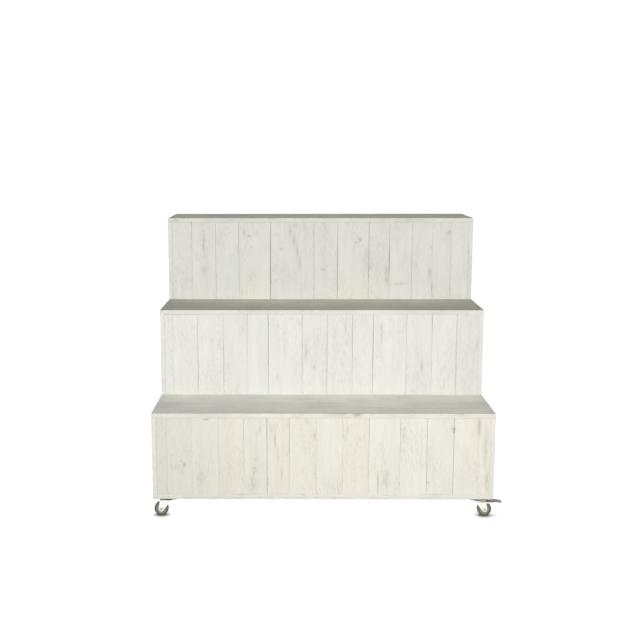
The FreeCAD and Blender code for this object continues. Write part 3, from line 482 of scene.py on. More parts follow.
def place_in_log(board, rng, u, v, w):
    """Where each point was in the log, whose pith leans a little along the board: two distances from the
    pith, and one along the log."""
    width, length, thick = board.size
    pith_u = rng.uniform(-0.2, 1.2) * width
    pith_w = rng.uniform(25, 110) * MM
    lean = rng.uniform(-0.05, 0.05)
    taper = rng.uniform(0.03, 0.09) * rng.choice([-1, 1])
    across = u - pith_u + lean * (v - length / 2)
    return np.stack([across, pith_w + (thick - w) + taper * v, v + rng.uniform(0, 60)], axis=1)


def carve(board):
    """The board's mesh data: places of its points, faces, and what its finish needs at each point."""
    rng = dice(board.name)
    width, length, thick = board.size
    lines = mesh_lines(board)
    where, faces = block(*lines)
    place = np.stack([cut[index] for cut, index in zip(lines, where)], axis=1)
    u, v, w = place.T.copy()

    # Wear shows near an arris: where a point is close to two of the board's surfaces.
    from_edges = np.sort(np.stack([np.minimum(u, width - u), np.minimum(v, length - v), thick - w]), axis=0)
    rim = np.exp(-from_edges[1] / RIM_WEAR)

    place = rounded(place, board.size, arris_radius(board, rng, u, v, w))
    cupped = cupping(board, rng, u, v)
    rise, knot, stain = lay_marks(board.marks, u, v)
    place[:, 2] += (cupped + rise) * smooth(0.2 * thick, 0.8 * thick, w)
    across, along = shift_edges(board, rng, u, v)
    place[:, 0] += across
    place[:, 1] += along

    grain = place_in_log(board, rng, u, v, w)
    marked = smooth(0.6, 0.95, w / thick)
    on_face = smooth(thick - 1.6 * MM, thick - 0.3 * MM, w)
    return place, faces, grain, np.stack([knot * marked, stain * marked, rim], axis=1), on_face


def tint(name, rubbed, edge, share):
    """The paint's colour at each point of one board, a little apart from its neighbours'. share is how far the
    point lies on the board's face rather than on an edge; on a tread the face colour holds painted light and
    shade."""
    rng = dice(name + "_tint")
    light = 1 + rng.normal(0, 0.012)
    warm = rng.normal(0, 0.004)
    own = np.array([light * (1 + warm), light, light * (1 - 1.4 * warm)])
    return own * (np.array(edge) + (np.array(rubbed) - np.array(edge)) * share[:, None])


def wear_and_painted_light(shade, board, face, points, place, on_face):
    """The same colour, in patches rubbed lighter and darker along a tread, darker toward the left end of some
    faces and toward both ends of a tread, and with painted light and shade from the head to the foot of a
    front.
    """
    x = points[:, :1]
    if face.finish == "tread":
        shade *= 1 + waves(dice(board.name + "_rubbed"), x, RUBBED_LENGTH, RUBBED_SHARE)
    shade *= 1 - LEFT_END_DARKENING.get(face.node, 0.0) * (1 - smooth(-0.5, 0.1, x))
    shade *= 1 - TREAD_END_DARKENING.get(face.node, 0.0) * (x / HALF_WIDTH) ** 2 * on_face[:, None]
    # painted light and shade: lighter toward a front board's foot, darker toward its head
    shade *= 1 + PAINTED_FOOT_LIGHT.get(face.node, 0.0) * (0.5 - place[:, 1:2] / board.size[1])
    return shade


def make_board(board, face, origin, tone, finish):
    """Builds the finished board, which rides on the case."""
    place, faces, grain, wear, on_face = carve(board)
    across, along, out = AXES[face.across], AXES[face.along], AXES[face.out] * face.outward
    turn = np.array([across, along, out])
    points = place @ turn + origin
    if across.cross(along).dot(out) < 0:
        faces = [one[::-1] for one in faces]
    mesh = bpy.data.meshes.new(board.name)
    mesh.from_pydata(points.tolist(), [], faces)
    mesh.shade_smooth()
    # board.shade is painted light; on a tread, tone[0] is painted light and shade too
    shade = tint(board.name, np.array(tone[0]) * board.shade, tone[1], on_face)
    shade = wear_and_painted_light(shade, board, face, points, place, on_face)
    for title, rows in (("grain", grain), ("wear", wear), ("paint", shade)):
        mesh.attributes.new(title, "FLOAT_VECTOR", "POINT").data.foreach_set("vector", rows.ravel())
    mesh.materials.append(finish)
    item = bpy.data.objects.new(board.name, mesh)
    bpy.context.collection.objects.link(item)
    normals = item.modifiers.new("even_normals", "WEIGHTED_NORMAL")
    normals.keep_sharp = False
    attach(item, "case")
    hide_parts(face.node)


# ---------- Finishes ----------


class Bench:
    """A node tree being laid out: each call adds one node, with its inputs set or linked."""

    def __init__(self, tree):
        self.tree = tree

    def add(self, kind, settings=None, **inputs):
        node = self.tree.nodes.new("ShaderNode" + kind)
        for name, choice in (settings or {}).items():
            setattr(node, name, choice)
        for name, source in inputs.items():
            self.set(node, name.replace("_", " "), source)
        return node

    def set(self, node, name, source):
        socket = node.inputs[int(name[1:])] if name[0] == "i" and name[1:].isdigit() else node.inputs[name]
        if isinstance(source, bpy.types.NodeSocket):
            self.tree.links.new(source, socket)
        else:
            socket.default_value = source

    def math(self, operation, *values):
        node = self.add("Math", {"operation": operation})
        for number, source in enumerate(values):
            self.set(node, f"i{number}", source)
        return node.outputs[0]

    def vector(self, operation, *values):
        node = self.add("VectorMath", {"operation": operation})
        for number, source in enumerate(values):
            self.set(node, f"i{number}", source)
        return node.outputs[1] if operation == "LENGTH" else node.outputs[0]

    def ramp(self, source, low, high, to_low=0.0, to_high=1.0):
        node = self.add(
            "MapRange",
            {"interpolation_type": "SMOOTHSTEP"},
            Value=source,
            From_Min=low,
            From_Max=high,
            To_Min=to_low,
            To_Max=to_high,
        )
        return node.outputs[0]

    def noise(self, place, scale, detail=2.0, rough=0.55, colour=False):
        node = self.add("TexNoise", None, Vector=place, Scale=scale, Detail=detail, Roughness=rough)
        return node.outputs["Color" if colour else "Fac"]

    def mix(self, share, first, second):
        node = self.add("Mix", {"data_type": "RGBA"})
        for number, source in ((0, share), (6, first), (7, second)):
            self.set(node, f"i{number}", source)
        return node.outputs[2]


def new_finish(name):
    """A finish with nothing on it yet, the bench to lay it out on, and its shader."""
    finish = bpy.data.materials.new(name)
    finish.use_nodes = True
    return finish, Bench(finish.node_tree), finish.node_tree.nodes["Principled BSDF"]


def group(name, inputs, outputs):
    """An empty node group with its sockets, and the bench to lay it out on."""
    tree = bpy.data.node_groups.new(name, "ShaderNodeTree")
    for title, kind in inputs:
        tree.interface.new_socket(title, in_out="INPUT", socket_type=f"NodeSocket{kind}")
    for title, kind in outputs:
        tree.interface.new_socket(title, in_out="OUTPUT", socket_type=f"NodeSocket{kind}")
    bench = Bench(tree)
    return tree, bench, tree.nodes.new("NodeGroupInput").outputs, tree.nodes.new("NodeGroupOutput").inputs


FIGURE = ("Rings", "Streaks", "Fibres", "Dashes")
RING_WANDER, KNOT_BEND = 0.022, 0.011  # how far the growth rings wander, and bend round a knot, in metres


def softwood_figure():
    """Growth rings, broad streaks, fine fibres and short dashes of sawn softwood, from a place in the log.
    Scales are for the two ways across the log and the way along it, to draw the figure out lengthwise."""
    tree, bench, given, made = group(
        "softwood_figure",
        [("Place", "Vector"), ("Knot", "Float"), ("Ring Width", "Float")],
        [(line, "Float") for line in FIGURE],
    )
    drift = bench.noise(bench.vector("MULTIPLY", given["Place"], (9, 9, 1.4)), 1.0, 2.0, colour=True)
    drift = bench.vector("SCALE", bench.vector("SUBTRACT", drift, (0.5, 0.5, 0.5)))
    drift.node.inputs["Scale"].default_value = RING_WANDER
    wavy = bench.vector("ADD", given["Place"], drift)
    radius = bench.vector("LENGTH", bench.vector("MULTIPLY", wavy, (1, 1, 0)))
    radius = bench.math("MULTIPLY_ADD", given["Knot"], KNOT_BEND, radius)
    ring = bench.math("FRACT", bench.math("DIVIDE", radius, given["Ring Width"]))
    late = bench.math("MULTIPLY", bench.ramp(ring, 0.3, 0.85), bench.ramp(ring, 0.9, 1.0, 1.0, 0.0))
    uneven = bench.noise(bench.vector("MULTIPLY", given["Place"], (160, 160, 9)), 1.0, 2.0)
    bench.tree.links.new(bench.math("MULTIPLY", late, bench.ramp(uneven, 0.3, 0.65)), made["Rings"])
    broad = bench.noise(bench.vector("MULTIPLY", given["Place"], (62, 62, 2.6)), 1.0, 3.0, 0.6)
    bench.tree.links.new(bench.ramp(broad, 0.32, 0.7), made["Streaks"])
    fine = bench.noise(bench.vector("MULTIPLY", given["Place"], (900, 900, 22)), 1.0, 3.0, 0.65)
    bench.tree.links.new(bench.ramp(fine, 0.35, 0.7), made["Fibres"])
    short = bench.noise(bench.vector("MULTIPLY", given["Place"], (560, 560, 38)), 1.0, 2.0)
    bench.tree.links.new(short, made["Dashes"])
    return tree


THINNEST = 0.85  # how much of the wood shows where the paint is all but gone
DARK_KNOT = (0.10, 0.075, 0.05, 1)


def brushed_paint():
    """How much of the wood shows through a thin coat of brushed paint, and the colour and relief of the two
    together. Rings, streaks, fibres, dashes, brush strokes, chips and stains each thin the paint."""
    tree, bench, given, made = group(
        "brushed_paint",
        [
            *(("Place", "Vector"), ("Wear", "Vector"), ("Paint", "Color"), ("Wood", "Color")),
            *((line, "Float") for line in ("Cover", *FIGURE)),
        ],
        [("Color", "Color"), ("Bare", "Float"), ("Height", "Float")],
    )
    split = bench.add("SeparateXYZ", None, Vector=given["Wear"])
    _, stain, rim = split.outputs
    brush = bench.noise(bench.vector("MULTIPLY", given["Place"], (340, 340, 5)), 1.0, 2.0)
    cloud = bench.noise(bench.vector("MULTIPLY", given["Place"], (16, 16, 5)), 1.0, 3.0)
    patch = bench.noise(bench.vector("MULTIPLY", given["Place"], (13, 13, 7)), 1.0, 2.0)
    dashes = bench.math("MULTIPLY", bench.ramp(given["Dashes"], 0.5, 0.66), bench.ramp(patch, 0.42, 0.62))
    fibres = bench.math("MULTIPLY", given["Fibres"], bench.ramp(cloud, 0.35, 0.7))
    chips = bench.math("MULTIPLY", rim, bench.ramp(bench.noise(given["Place"], 45, 3.0), 0.55, 0.7))
    broken = bench.math("MULTIPLY", stain, bench.ramp(given["Dashes"], 0.38, 0.6, 0.4, 1.0))
    thin = bench.math("SUBTRACT", 1.0, given["Cover"])
    for share, cause in (
        (0.05, given["Rings"]),
        (0.055, given["Streaks"]),
        (0.1, fibres),
        (0.21, dashes),
        (0.04, bench.ramp(brush, 0.45, 0.8)),
        (0.25, chips),
        (0.62, broken),
    ):
        thin = bench.math("MULTIPLY_ADD", cause, share, thin)
    bare = bench.math("MAXIMUM", bench.math("MINIMUM", thin, THINNEST), 0.0)
    dark_knot = bench.mix(bench.ramp(stain, 0.9, 1.8), given["Wood"], DARK_KNOT)
    bench.tree.links.new(bench.mix(bare, given["Paint"], dark_knot), made["Color"])
    bench.tree.links.new(bare, made["Bare"])
    relief = bench.math("MULTIPLY_ADD", given["Rings"], 0.35, bench.math("MULTIPLY", given["Fibres"], -0.6))
    relief = bench.math("MULTIPLY_ADD", brush, 0.7, relief)
    bench.tree.links.new(relief, made["Height"])
    return tree


AGED_WOOD = (0.30, 0.265, 0.205, 1)


def whitewash(name, figure, paint, cover, ring_width):
    """Thin white paint on softwood boards, from the place, wear and paint that each board carries."""
    finish, bench, shader = new_finish(name)
    grain, wear, tone = (
        bench.add("Attribute", {"attribute_name": title}).outputs["Vector"]
        for title in ("grain", "wear", "paint")
    )
    knot = bench.add("SeparateXYZ", None, Vector=wear).outputs[0]
    lines = bench.add("Group", {"node_tree": figure}, Place=grain, Knot=knot, Ring_Width=ring_width)
    coat = bench.add(
        "Group",
        {"node_tree": paint},
        Place=grain,
        Wear=wear,
        Paint=tone,
        Wood=AGED_WOOD,
        Cover=cover,
        **{line: lines.outputs[line] for line in FIGURE},
    )
    bench.set(shader, "Base Color", coat.outputs["Color"])
    bench.set(shader, "Roughness", bench.ramp(coat.outputs["Bare"], 0.0, 0.6, 0.62, 0.82))
    bump = bench.add("Bump", None, Strength=0.5, Distance=0.25 * MM, Height=coat.outputs["Height"])
    bench.set(shader, "Normal", bump.outputs[0])
    return finish


EARLYWOOD, LATEWOOD = (0.60, 0.44, 0.27, 1), (0.42, 0.26, 0.13, 1)
STREAKED_WOOD, FIBROUS_WOOD = (0.52, 0.40, 0.26, 1), (0.38, 0.27, 0.16, 1)


def bare_softwood(name, figure, along):
    """Sawn softwood with no finish, its grain along one axis of the table."""
    finish, bench, shader = new_finish(name)
    spot = bench.add("SeparateXYZ", None, Vector=bench.add("TexCoord").outputs["Object"]).outputs
    order = {"x": (1, 2, 0), "y": (2, 0, 1), "z": (0, 1, 2)}[along]
    place = bench.add("CombineXYZ", None, X=spot[order[0]], Y=spot[order[1]], Z=spot[order[2]]).outputs[0]
    lines = bench.add("Group", {"node_tree": figure}, Place=place, Knot=0.0, Ring_Width=4.5 * MM)
    wood = bench.mix(lines.outputs["Rings"], EARLYWOOD, LATEWOOD)
    wood = bench.mix(bench.math("MULTIPLY", lines.outputs["Streaks"], 0.35), wood, STREAKED_WOOD)
    wood = bench.mix(bench.math("MULTIPLY", lines.outputs["Fibres"], 0.3), wood, FIBROUS_WOOD)
    bench.set(shader, "Base Color", wood)
    bench.set(shader, "Roughness", bench.ramp(lines.outputs["Fibres"], 0.0, 1.0, 0.7, 0.85))
    bump = bench.add("Bump", None, Strength=0.4, Distance=0.4 * MM, Height=lines.outputs["Fibres"])
    bench.set(shader, "Normal", bump.outputs[0])
    return finish


def scuffed_surface():
    """Fine scuffs, cloudy handling marks and dirt for small metal and moulded pieces."""
    tree, bench, given, made = group(
        "scuffed_surface",
        [("Place", "Vector"), ("Clean", "Color"), ("Dirt", "Color"), ("Amount", "Float")],
        [("Color", "Color"), ("Scuff", "Float"), ("Height", "Float")],
    )
    cloud = bench.noise(given["Place"], 120.0, 3.0)
    fine = bench.noise(given["Place"], 900.0, 3.0, 0.6)
    scratch = bench.noise(bench.vector("MULTIPLY", given["Place"], (2400, 300, 700)), 1.0, 2.0)
    specks = bench.ramp(fine, 0.55, 0.8, 0.0, 0.4)
    scuff = bench.math("MULTIPLY_ADD", bench.ramp(cloud, 0.4, 0.75), 0.6, specks)
    share = bench.math("MULTIPLY", scuff, given["Amount"])
    bench.tree.links.new(bench.mix(share, given["Clean"], given["Dirt"]), made["Color"])
    bench.tree.links.new(scuff, made["Scuff"])
    bench.tree.links.new(bench.math("MULTIPLY_ADD", scratch, 0.5, fine), made["Height"])
    return tree


def hardware(name, scuffs, colours, amount, metallic, roughness, relief):
    """A finish for castor pieces and nails, on the scuffed surface: its colours where clean and where dirty,
    how dirty it gets, how rough it is where least and most scuffed, and how deep its relief is."""
    finish, bench, shader = new_finish(name)
    place = bench.add("TexCoord").outputs["Object"]
    clean, dirt = colours
    skin = bench.add("Group", {"node_tree": scuffs}, Place=place, Clean=clean, Dirt=dirt, Amount=amount)
    bench.set(shader, "Base Color", skin.outputs["Color"])
    bench.set(shader, "Metallic", metallic)
    bench.set(shader, "Roughness", bench.ramp(skin.outputs["Scuff"], 0.0, 1.0, *roughness))
    bump = bench.add("Bump", None, Strength=0.4, Distance=relief, Height=skin.outputs["Height"])
    bench.set(shader, "Normal", bump.outputs[0])
    return finish


# ---------- The case ----------

figure, paint, scuffs = softwood_figure(), brushed_paint(), scuffed_surface()
whitewashes = {
    "upright": whitewash("whitewashed_upright", figure, paint, cover=0.95, ring_width=4.2 * MM),
    "tread": whitewash("whitewashed_tread", figure, paint, cover=0.88, ring_width=4.6 * MM),
}
DRIVEN = 10 * MM  # nails that run deeper than this into a board show their heads in it
AREA_TO_A_KNOT, AREA_TO_A_STAIN = 0.09 * 0.9, 0.09 * 0.4

nail_boxes = solids_of("cladding_nails")


def nails_in(face, low, high):
    """The nails driven through one board, as marks in its face."""
    across, along, out = ("xyz".index(axis) for axis in (face.across, face.along, face.out))
    head = low[out] if face.outward < 0 else high[out]
    marks = []
    for nail_low, nail_high in nail_boxes:
        at = (nail_low + nail_high) / 2
        flush = nail_low[out] if face.outward < 0 else nail_high[out]
        driven = nail_high[out] - nail_low[out] > DRIVEN
        if driven and abs(flush - head) < MM and low[across] < at[across] < high[across]:
            if low[along] < at[along] < high[along]:
                marks.append(Mark("nail", at[across] - low[across], at[along] - low[along]))
    return marks


def own_marks(name, size, boldest):
    """Knots and stains of a board that has none laid down for it: so many to an area of board."""
    rng = dice(name + "_marks")
    area = size[0] * size[1]
    marks = []
    for _ in range(rng.poisson(area / AREA_TO_A_KNOT)):
        half = rng.uniform(5, 11) * MM
        u, v = rng.uniform(0.2, 0.8) * size[0], rng.uniform(0.08, 0.92) * size[1]
        marks.append(Mark("knot", u, v, half, half * rng.uniform(0.9, 1.6), rng.uniform(0.4, 1) * boldest))
    for _ in range(rng.poisson(area / AREA_TO_A_STAIN)):
        u, v = rng.uniform(0.1, 0.9) * size[0], rng.uniform(0.08, 0.92) * size[1]
        half, tall = rng.uniform(4, 9) * MM, rng.uniform(15, 45) * MM
        marks.append(Mark("stain", u, v, half, tall, rng.uniform(0.3, 0.8) * boldest))
    return marks


def laid_marks(face, low, high):
    """The marks laid down for a face that fall on one board."""
    marks = []
    for kind, places in LAID_MARKS.get(face.node, {}).items():
        for from_left, second, wide, tall, dark in places:
            x = from_left * MM - HALF_WIDTH
            if face.along == "x":
                marks.append(Mark(kind, second * MM, x - low[0], tall * MM, wide * MM, dark))
            elif low[0] - wide * MM < x < high[0] + wide * MM:
                marks.append(Mark(kind, x - low[0], second * MM - low[2], wide * MM, tall * MM, dark))
    return marks


def random_joint(name):
    """A joint of a side, the back, a tread or the base: a little open here and there."""
    rng = dice(name + "_joint")
    return Joint(tuple(np.clip(rng.uniform(0.2, 1.0) + rng.normal(0, 0.25, 5), 0.1, 1.4)))


def joints_of(face, count):
    """The joints of a face's boards in order, with the corner or wall at each end of the row."""
    if face.node in FRONT_JOINTS:
        fronts = FRONT_JOINTS[face.node]
        inner = [Joint(fronts.get(number, (0.1,))) for number in range(1, count)]
        return [BESIDE_WALL, *inner, BESIDE_WALL]
    inner = [random_joint(f"{face.piece}_{number:02d}") for number in range(1, count)]
    corner = TREAD_CORNER if face.finish == "tread" else CORNER
    if face.node == "base_boards":
        corner = BASE_CORNER
    return [corner, *inner, corner]


def marks_of(face, number, name, low, high):
    """Every mark in one board of a face: nails, what is laid down for it, and its own knots and stains."""
    size = high - low
    across, along = "xyz".index(face.across), "xyz".index(face.along)
    fronts, level = face.node in FRONT_JOINTS, face.along == "x"
    marks = nails_in(face, low, high)
    if fronts or (level and number == 1):
        marks += laid_marks(face, low, high)
    if not fronts:
        marks += own_marks(name, (size[across], size[along]), 0.4 if level else 0.7)
    if face.node == "base_boards" and number == 1:  # painted shade along the base's lower front edge, drawn as a stain
        marks.append(Mark("stain", 0, size[along] / 2, 5 * MM, size[along] * 2, 0.32))
    return marks


def lay_boards(face):
    """All boards of one face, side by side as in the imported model."""
    across, along, out = ("xyz".index(axis) for axis in (face.across, face.along, face.out))
    boards = sorted(solids_of(face.node), key=lambda corners: corners[0][across])
    joints = joints_of(face, len(boards))
    for number, (low, high) in enumerate(boards, start=1):
        name = f"{face.piece}_{number:02d}"
        size = (high - low)[[across, along, out]]
        marks = marks_of(face, number, name, low, high)
        board = Board(name, size, marks, *joints[number - 1 : number + 1])
        if face.along == "x":
            board.end_arris = LEVEL_END_ARRIS
        if face.node == "base_boards":
            board.inner_arris, board.inner_cut = FINE_ARRIS, FINE_CUT
        if face.node == "lower_front_boards":
            board.foot_cut = FINE_FOOT
        # painted light across each tread's planks
        if face.node in PAINTED_PLANK_LIGHT:
            board.shade = PAINTED_PLANK_LIGHT[face.node][number - 1]
        board.short = SHORT_BOARDS.get(face.node, {}).get(number, 0.0)
        origin = low.copy()
        if face.outward < 0:
            origin[out] = high[out]
        make_board(board, face, origin, TONES.get(face.node, OTHER_TONE), whitewashes[face.finish])


for face in FACES:
    lay_boards(face)


NAIL_SET = 0.4 * MM  # how far the nails are driven below the face
NAIL_SIDES = 10
NAIL_RINGS = ((0.0, 0.6), (0.25, 1.0), (-2.0, 1.0), (0.0, 0.15))  # depth from the head or tip, and radius
BASE_NAILS_BELOW = 0.3  # a nail that stands upright lower than this holds the base
PAINTED_NAIL = ((0.7, 0.68, 0.61, 1), (0.3, 0.22, 0.14, 1))


def nail_mesh(low, high, start):
    """Points and faces of one nail, from the corners of its box. start is the number of its first point."""
    run = int(np.argmax(high - low))
    middle = (low + high) / 2
    outward = 1 if middle[run] > 0 else -1
    if run == 2:  # treads are nailed from above, the base from below
        outward = 1 if high[2] > BASE_NAILS_BELOW else -1
    head = (high if outward > 0 else low)[run] - outward * NAIL_SET
    tip = (low if outward > 0 else high)[run]
    points = []
    for from_end, (depth, radius) in zip((head, head, tip, tip), NAIL_RINGS):
        for step in range(NAIL_SIDES):
            angle = step * 2 * math.pi / NAIL_SIDES
            point = middle.copy()
            point[run] = from_end - outward * depth * MM
            point[(run + 1) % 3] += math.cos(angle) * radius * MM
            point[(run + 2) % 3] += math.sin(angle) * radius * MM
            points.append(point.tolist())
    firsts = range(start, start + len(points), NAIL_SIDES)
    rings = [list(range(first, first + NAIL_SIDES)) for first in firsts]
    faces = [rings[0][:], rings[-1][::-1]]
    for upper, lower in zip(rings, rings[1:]):
        for i in range(NAIL_SIDES):
            beside = (i + 1) % NAIL_SIDES
            faces.append([upper[i], lower[i], lower[beside], upper[beside]])
    if outward < 0:
        faces = [face[::-1] for face in faces]
    return points, faces


def make_nails():
    """Every nail, set a little below the face that it holds."""
    points, faces = [], []
    for low, high in nail_boxes:
        new_points, new_faces = nail_mesh(low, high, len(points))
        points += new_points
        faces += new_faces
    mesh = bpy.data.meshes.new("cladding_nail_set")
    mesh.from_pydata(points, [], faces)
    mesh.shade_smooth()
    mesh.materials.append(hardware("painted_nail", scuffs, PAINTED_NAIL, 0.5, 0.1, (0.45, 0.7), 0.1 * MM))
    item = bpy.data.objects.new("cladding_nail_set", mesh)
    bpy.context.collection.objects.link(item)
    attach(item, "case")
    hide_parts("cladding_nails")


make_nails()


def finish_node(node, finish):
    """Gives all slots of a CAD node one finish."""
    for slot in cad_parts[node].material_slots:
        slot.material = finish


TIMBERS = {
    "x": ["bottom_rails", "front_rails", "riser_rails", "rear_rails"],
    "y": ["left_sill", "right_sill", "side_rails", "tread_bearers"],
    "z": ["front_posts", "middle_posts", "upper_posts", "rear_posts"],
}
for along, members in TIMBERS.items():
    softwood = bare_softwood(f"bare_softwood_along_{along}", figure, along)
    for node in members:
        finish_node(node, softwood)

# ---------- The castors ----------

# Colours of each metal or moulding where it is clean, and where it is dirty. The two darkest zinc colours are
# painted shade: zinc drawn dark where it sits in the shade of the base.
ZINC = ((0.93, 0.92, 0.88, 1), (0.66, 0.64, 0.57, 1))
# painted shade: the castor plate, kingpin and screws, zinc drawn dark as if in the shade under the base
SHADED_ZINC = ((0.13, 0.125, 0.09, 1), (0.05, 0.048, 0.03, 1))
# painted shade: the zinc pedal's top plate, drawn dark where it lies in the shade under the base
PEDAL_SHADE_COLOURS = ((0.27, 0.26, 0.21, 1), (0.09, 0.08, 0.05, 1))
TARNISHED_STEEL = ((0.55, 0.51, 0.43, 1), (0.33, 0.29, 0.22, 1))
BRIGHT_STEEL = ((0.62, 0.61, 0.6, 1), (0.35, 0.33, 0.3, 1))
BROWN_PLASTIC = ((0.35, 0.325, 0.26, 1), (0.22, 0.2, 0.15, 1))
GREY_RUBBER = ((0.115, 0.1, 0.078, 1), (0.2, 0.18, 0.15, 1))
CROWN_SHADE_HEIGHT = 57.7 * MM  # the height above which a fork's crown is drawn dark: painted shade from the plate and the base above it
PLATE_HEIGHT, PLATE_REACH = 52.3 * MM, 601 * MM  # where a pedal's flanges end and its top plate, drawn dark as painted shade, begins; and how far from the table's middle the whole pedal is drawn dark

zinc = hardware("zinc_plate", scuffs, ZINC, 0.3, 0.7, (0.3, 0.5), 0.05 * MM)
fork_zinc = hardware("greased_fork", scuffs, ZINC, 0.3, 0.7, (0.3, 0.5), 0.05 * MM)
shaded_zinc = hardware("dulled_zinc", scuffs, SHADED_ZINC, 0.7, 0.5, (0.4, 0.6), 0.06 * MM)
pedal_zinc = hardware("coated_pedal", scuffs, ZINC, 0.7, 0.6, (0.35, 0.6), 0.06 * MM)
pin_steel = hardware("pin_steel", scuffs, TARNISHED_STEEL, 0.6, 0.6, (0.35, 0.55), 0.05 * MM)
steel = hardware("bright_steel", scuffs, BRIGHT_STEEL, 0.4, 1.0, (0.15, 0.35), 0.03 * MM)
plastic = hardware("wheel_centre", scuffs, BROWN_PLASTIC, 0.6, 0.0, (0.4, 0.6), 0.08 * MM)
rubber = hardware("tyre_rubber", scuffs, GREY_RUBBER, 0.7, 0.0, (0.6, 0.85), 0.2 * MM)


def paint_shade_on(finish, colours, above, fade, beyond=None):
    """Puts darker colours on part of a finish as painted shade: above a height, fading in over fade to each
    side of it, and beyond a distance to either side of the table's middle, where one is given."""
    bench = Bench(finish.node_tree)
    spot = bench.add("SeparateXYZ", None, Vector=bench.add("TexCoord").outputs["Object"]).outputs
    painted_shade = bench.ramp(spot["Z"], above - fade, above + fade)
    if beyond:
        far = bench.ramp(bench.math("ABSOLUTE", spot["X"]), beyond - 2 * MM, beyond + 2 * MM)
        painted_shade = bench.math("MAXIMUM", painted_shade, far)
    skin = next(node for node in finish.node_tree.nodes if node.type == "GROUP")
    for name, colour in zip(("Clean", "Dirt"), colours):
        under = tuple(skin.inputs[name].default_value)
        bench.set(skin, name, bench.mix(painted_shade, under, colour))


# Painted shade on the fork's crown, and on the pedal's top plate and its far end.
paint_shade_on(fork_zinc, SHADED_ZINC, CROWN_SHADE_HEIGHT, 1.2 * MM)
paint_shade_on(pedal_zinc, PEDAL_SHADE_COLOURS, PLATE_HEIGHT, 0.3 * MM, PLATE_REACH)

# The plate, kingpin and screws take the zinc with painted shade.
CASTOR_FINISHES = {
    "castor_plate": shaded_zinc,
    "kingpin": shaded_zinc,
    "swivel_balls": steel,
    "fork": fork_zinc,
    "axle": pin_steel,
    "wheel_hub": plastic,
    "tyre": rubber,
    "brake_pedal": pedal_zinc,
    "brake_pin": zinc,
}
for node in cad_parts:
    for piece, finish in CASTOR_FINISHES.items():
        if node.endswith("_" + piece):
            finish_node(node, finish)
finish_node("castor_screws", shaded_zinc)

# ---------- Floor, light and camera ----------

WHITEOUT = 1.05  # strength of the plain white behind and under the table
SHADE, SHADE_REACH = (0.13, 0.12, 0.10, 1), 0.055  # the dark under the wheels, and how far out it fades
FLOOR_REACH = 30.0


def make_floor():
    """A pale floor that shows no more than the soft shade close under the wheels."""
    mesh = bpy.data.meshes.new("floor")
    corners = [(x * FLOOR_REACH, y * FLOOR_REACH, 0) for x, y in ((-1, -1), (1, -1), (1, 1), (-1, 1))]
    mesh.from_pydata(corners, [], [(0, 1, 2, 3)])
    floor = bpy.data.objects.new("floor", mesh)
    bpy.context.collection.objects.link(floor)
    finish, bench, shader = new_finish("pale_floor")
    nodes = finish.node_tree.nodes
    nodes.remove(shader)
    near = bench.add("AmbientOcclusion", {"samples": 16}, Distance=SHADE_REACH)
    shade = bench.mix(bench.ramp(near.outputs["AO"], 0.45, 0.93), SHADE, (1, 1, 1, 1))
    seen = bench.add("Emission", None, Color=shade, Strength=WHITEOUT)
    lit = bench.add("BsdfDiffuse", None, Color=(0.8, 0.79, 0.77, 1))
    path = bench.add("LightPath")
    seen_from = bench.math("MAXIMUM", path.outputs["Is Camera Ray"], path.outputs["Is Glossy Ray"])
    both = bench.add("MixShader", None, i0=seen_from, i1=lit.outputs[0], i2=seen.outputs[0])
    bench.set(nodes["Material Output"], "Surface", both.outputs[0])
    mesh.materials.append(finish)


LIGHT_AT_EYE_LEVEL, LIGHT_FROM_ABOVE = 1.1, 0.14
# Name, place, turn in degrees (up from facing the floor, and then round to the side), size and watts.
SOFTBOXES = (
    ("front_softbox", (0, -3.0, 1.5), (78, 0), (3.0, 1.6), 63),
    ("left_softbox", (-2.6, 0.6, 0.22), (90, -90), (1.6, 0.34), 13),
    ("right_softbox", (2.6, 0.6, 0.22), (90, 90), (1.6, 0.34), 13),
    ("rear_softbox", (0, 3.0, 0.22), (90, 180), (2.0, 0.34), 6),
)


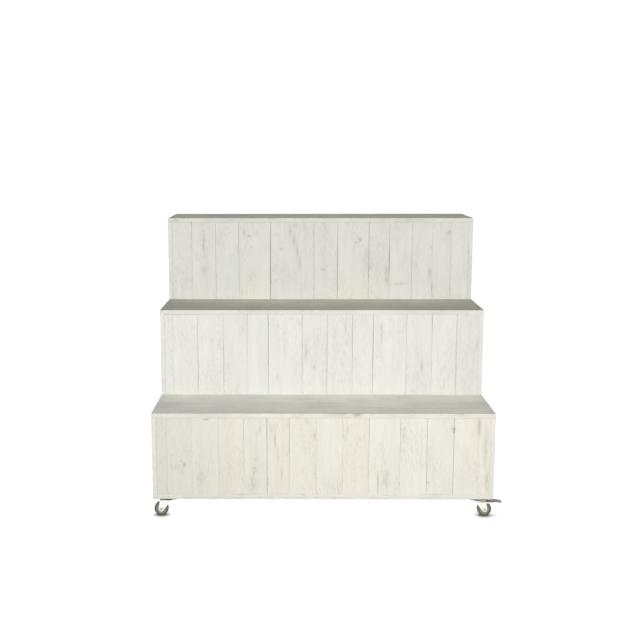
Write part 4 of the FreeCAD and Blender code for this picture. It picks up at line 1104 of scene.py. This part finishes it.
def light_room():
    """A white studio whose light comes from all round at eye level and much less from above."""
    world = bpy.data.worlds.new("studio")
    world.use_nodes = True
    bpy.context.scene.world = world
    bench = Bench(world.node_tree)
    nodes = world.node_tree.nodes
    height = bench.add("SeparateXYZ", None, Vector=bench.add("TexCoord").outputs["Generated"]).outputs["Z"]
    around = nodes["Background"]
    around.inputs["Color"].default_value = (1.0, 0.995, 0.975, 1)
    bench.set(around, "Strength", bench.ramp(height, 0.0, 0.75, LIGHT_AT_EYE_LEVEL, LIGHT_FROM_ABOVE))
    seen = bench.add("Background", None, Color=(1, 1, 1, 1), Strength=WHITEOUT)
    path = bench.add("LightPath")
    seen_from = path.outputs["Is Camera Ray"]
    both = bench.add("MixShader", None, i0=seen_from, i1=around.outputs[0], i2=seen.outputs[0])
    bench.set(nodes["World Output"], "Surface", both.outputs[0])
    for lamp in SOFTBOXES:
        softbox(*lamp)


def softbox(name, place, turned, size, watts):
    """A rectangular lamp that isn't seen itself."""
    lamp = bpy.data.lights.new(name, "AREA")
    lamp.shape = "RECTANGLE"
    lamp.size, lamp.size_y = size
    lamp.energy = watts
    item = bpy.data.objects.new(name, lamp)
    item.location = place
    item.rotation_euler = (math.radians(turned[0]), 0, math.radians(turned[1]))
    item.visible_camera = False
    bpy.context.collection.objects.link(item)


CAMERA_PLACE = (-0.0906, -4.0662, 1.2808)
LOOKS_DOWN, LEANS, LOOKS_LEFT = 10.15, 0.063, 0.48  # in degrees
SENSOR_WIDTH, FOCAL_LENGTH = 36.0, 60.13  # in millimetres
LENS_SHIFT = (0.0496, 0.0345)


def place_camera():
    """The camera, a little left of the middle and above the top tread, looking slightly down."""
    lens = bpy.data.cameras.new("camera")
    lens.sensor_width, lens.lens = SENSOR_WIDTH, FOCAL_LENGTH
    lens.shift_x, lens.shift_y = LENS_SHIFT
    camera = bpy.data.objects.new("camera", lens)
    camera.location = CAMERA_PLACE
    camera.rotation_euler = (math.radians(90 - LOOKS_DOWN), math.radians(LEANS), math.radians(LOOKS_LEFT))
    bpy.context.collection.objects.link(camera)
    bpy.context.scene.camera = camera


make_floor()
light_room()
place_camera()
bpy.context.scene.view_settings.view_transform = "Standard"
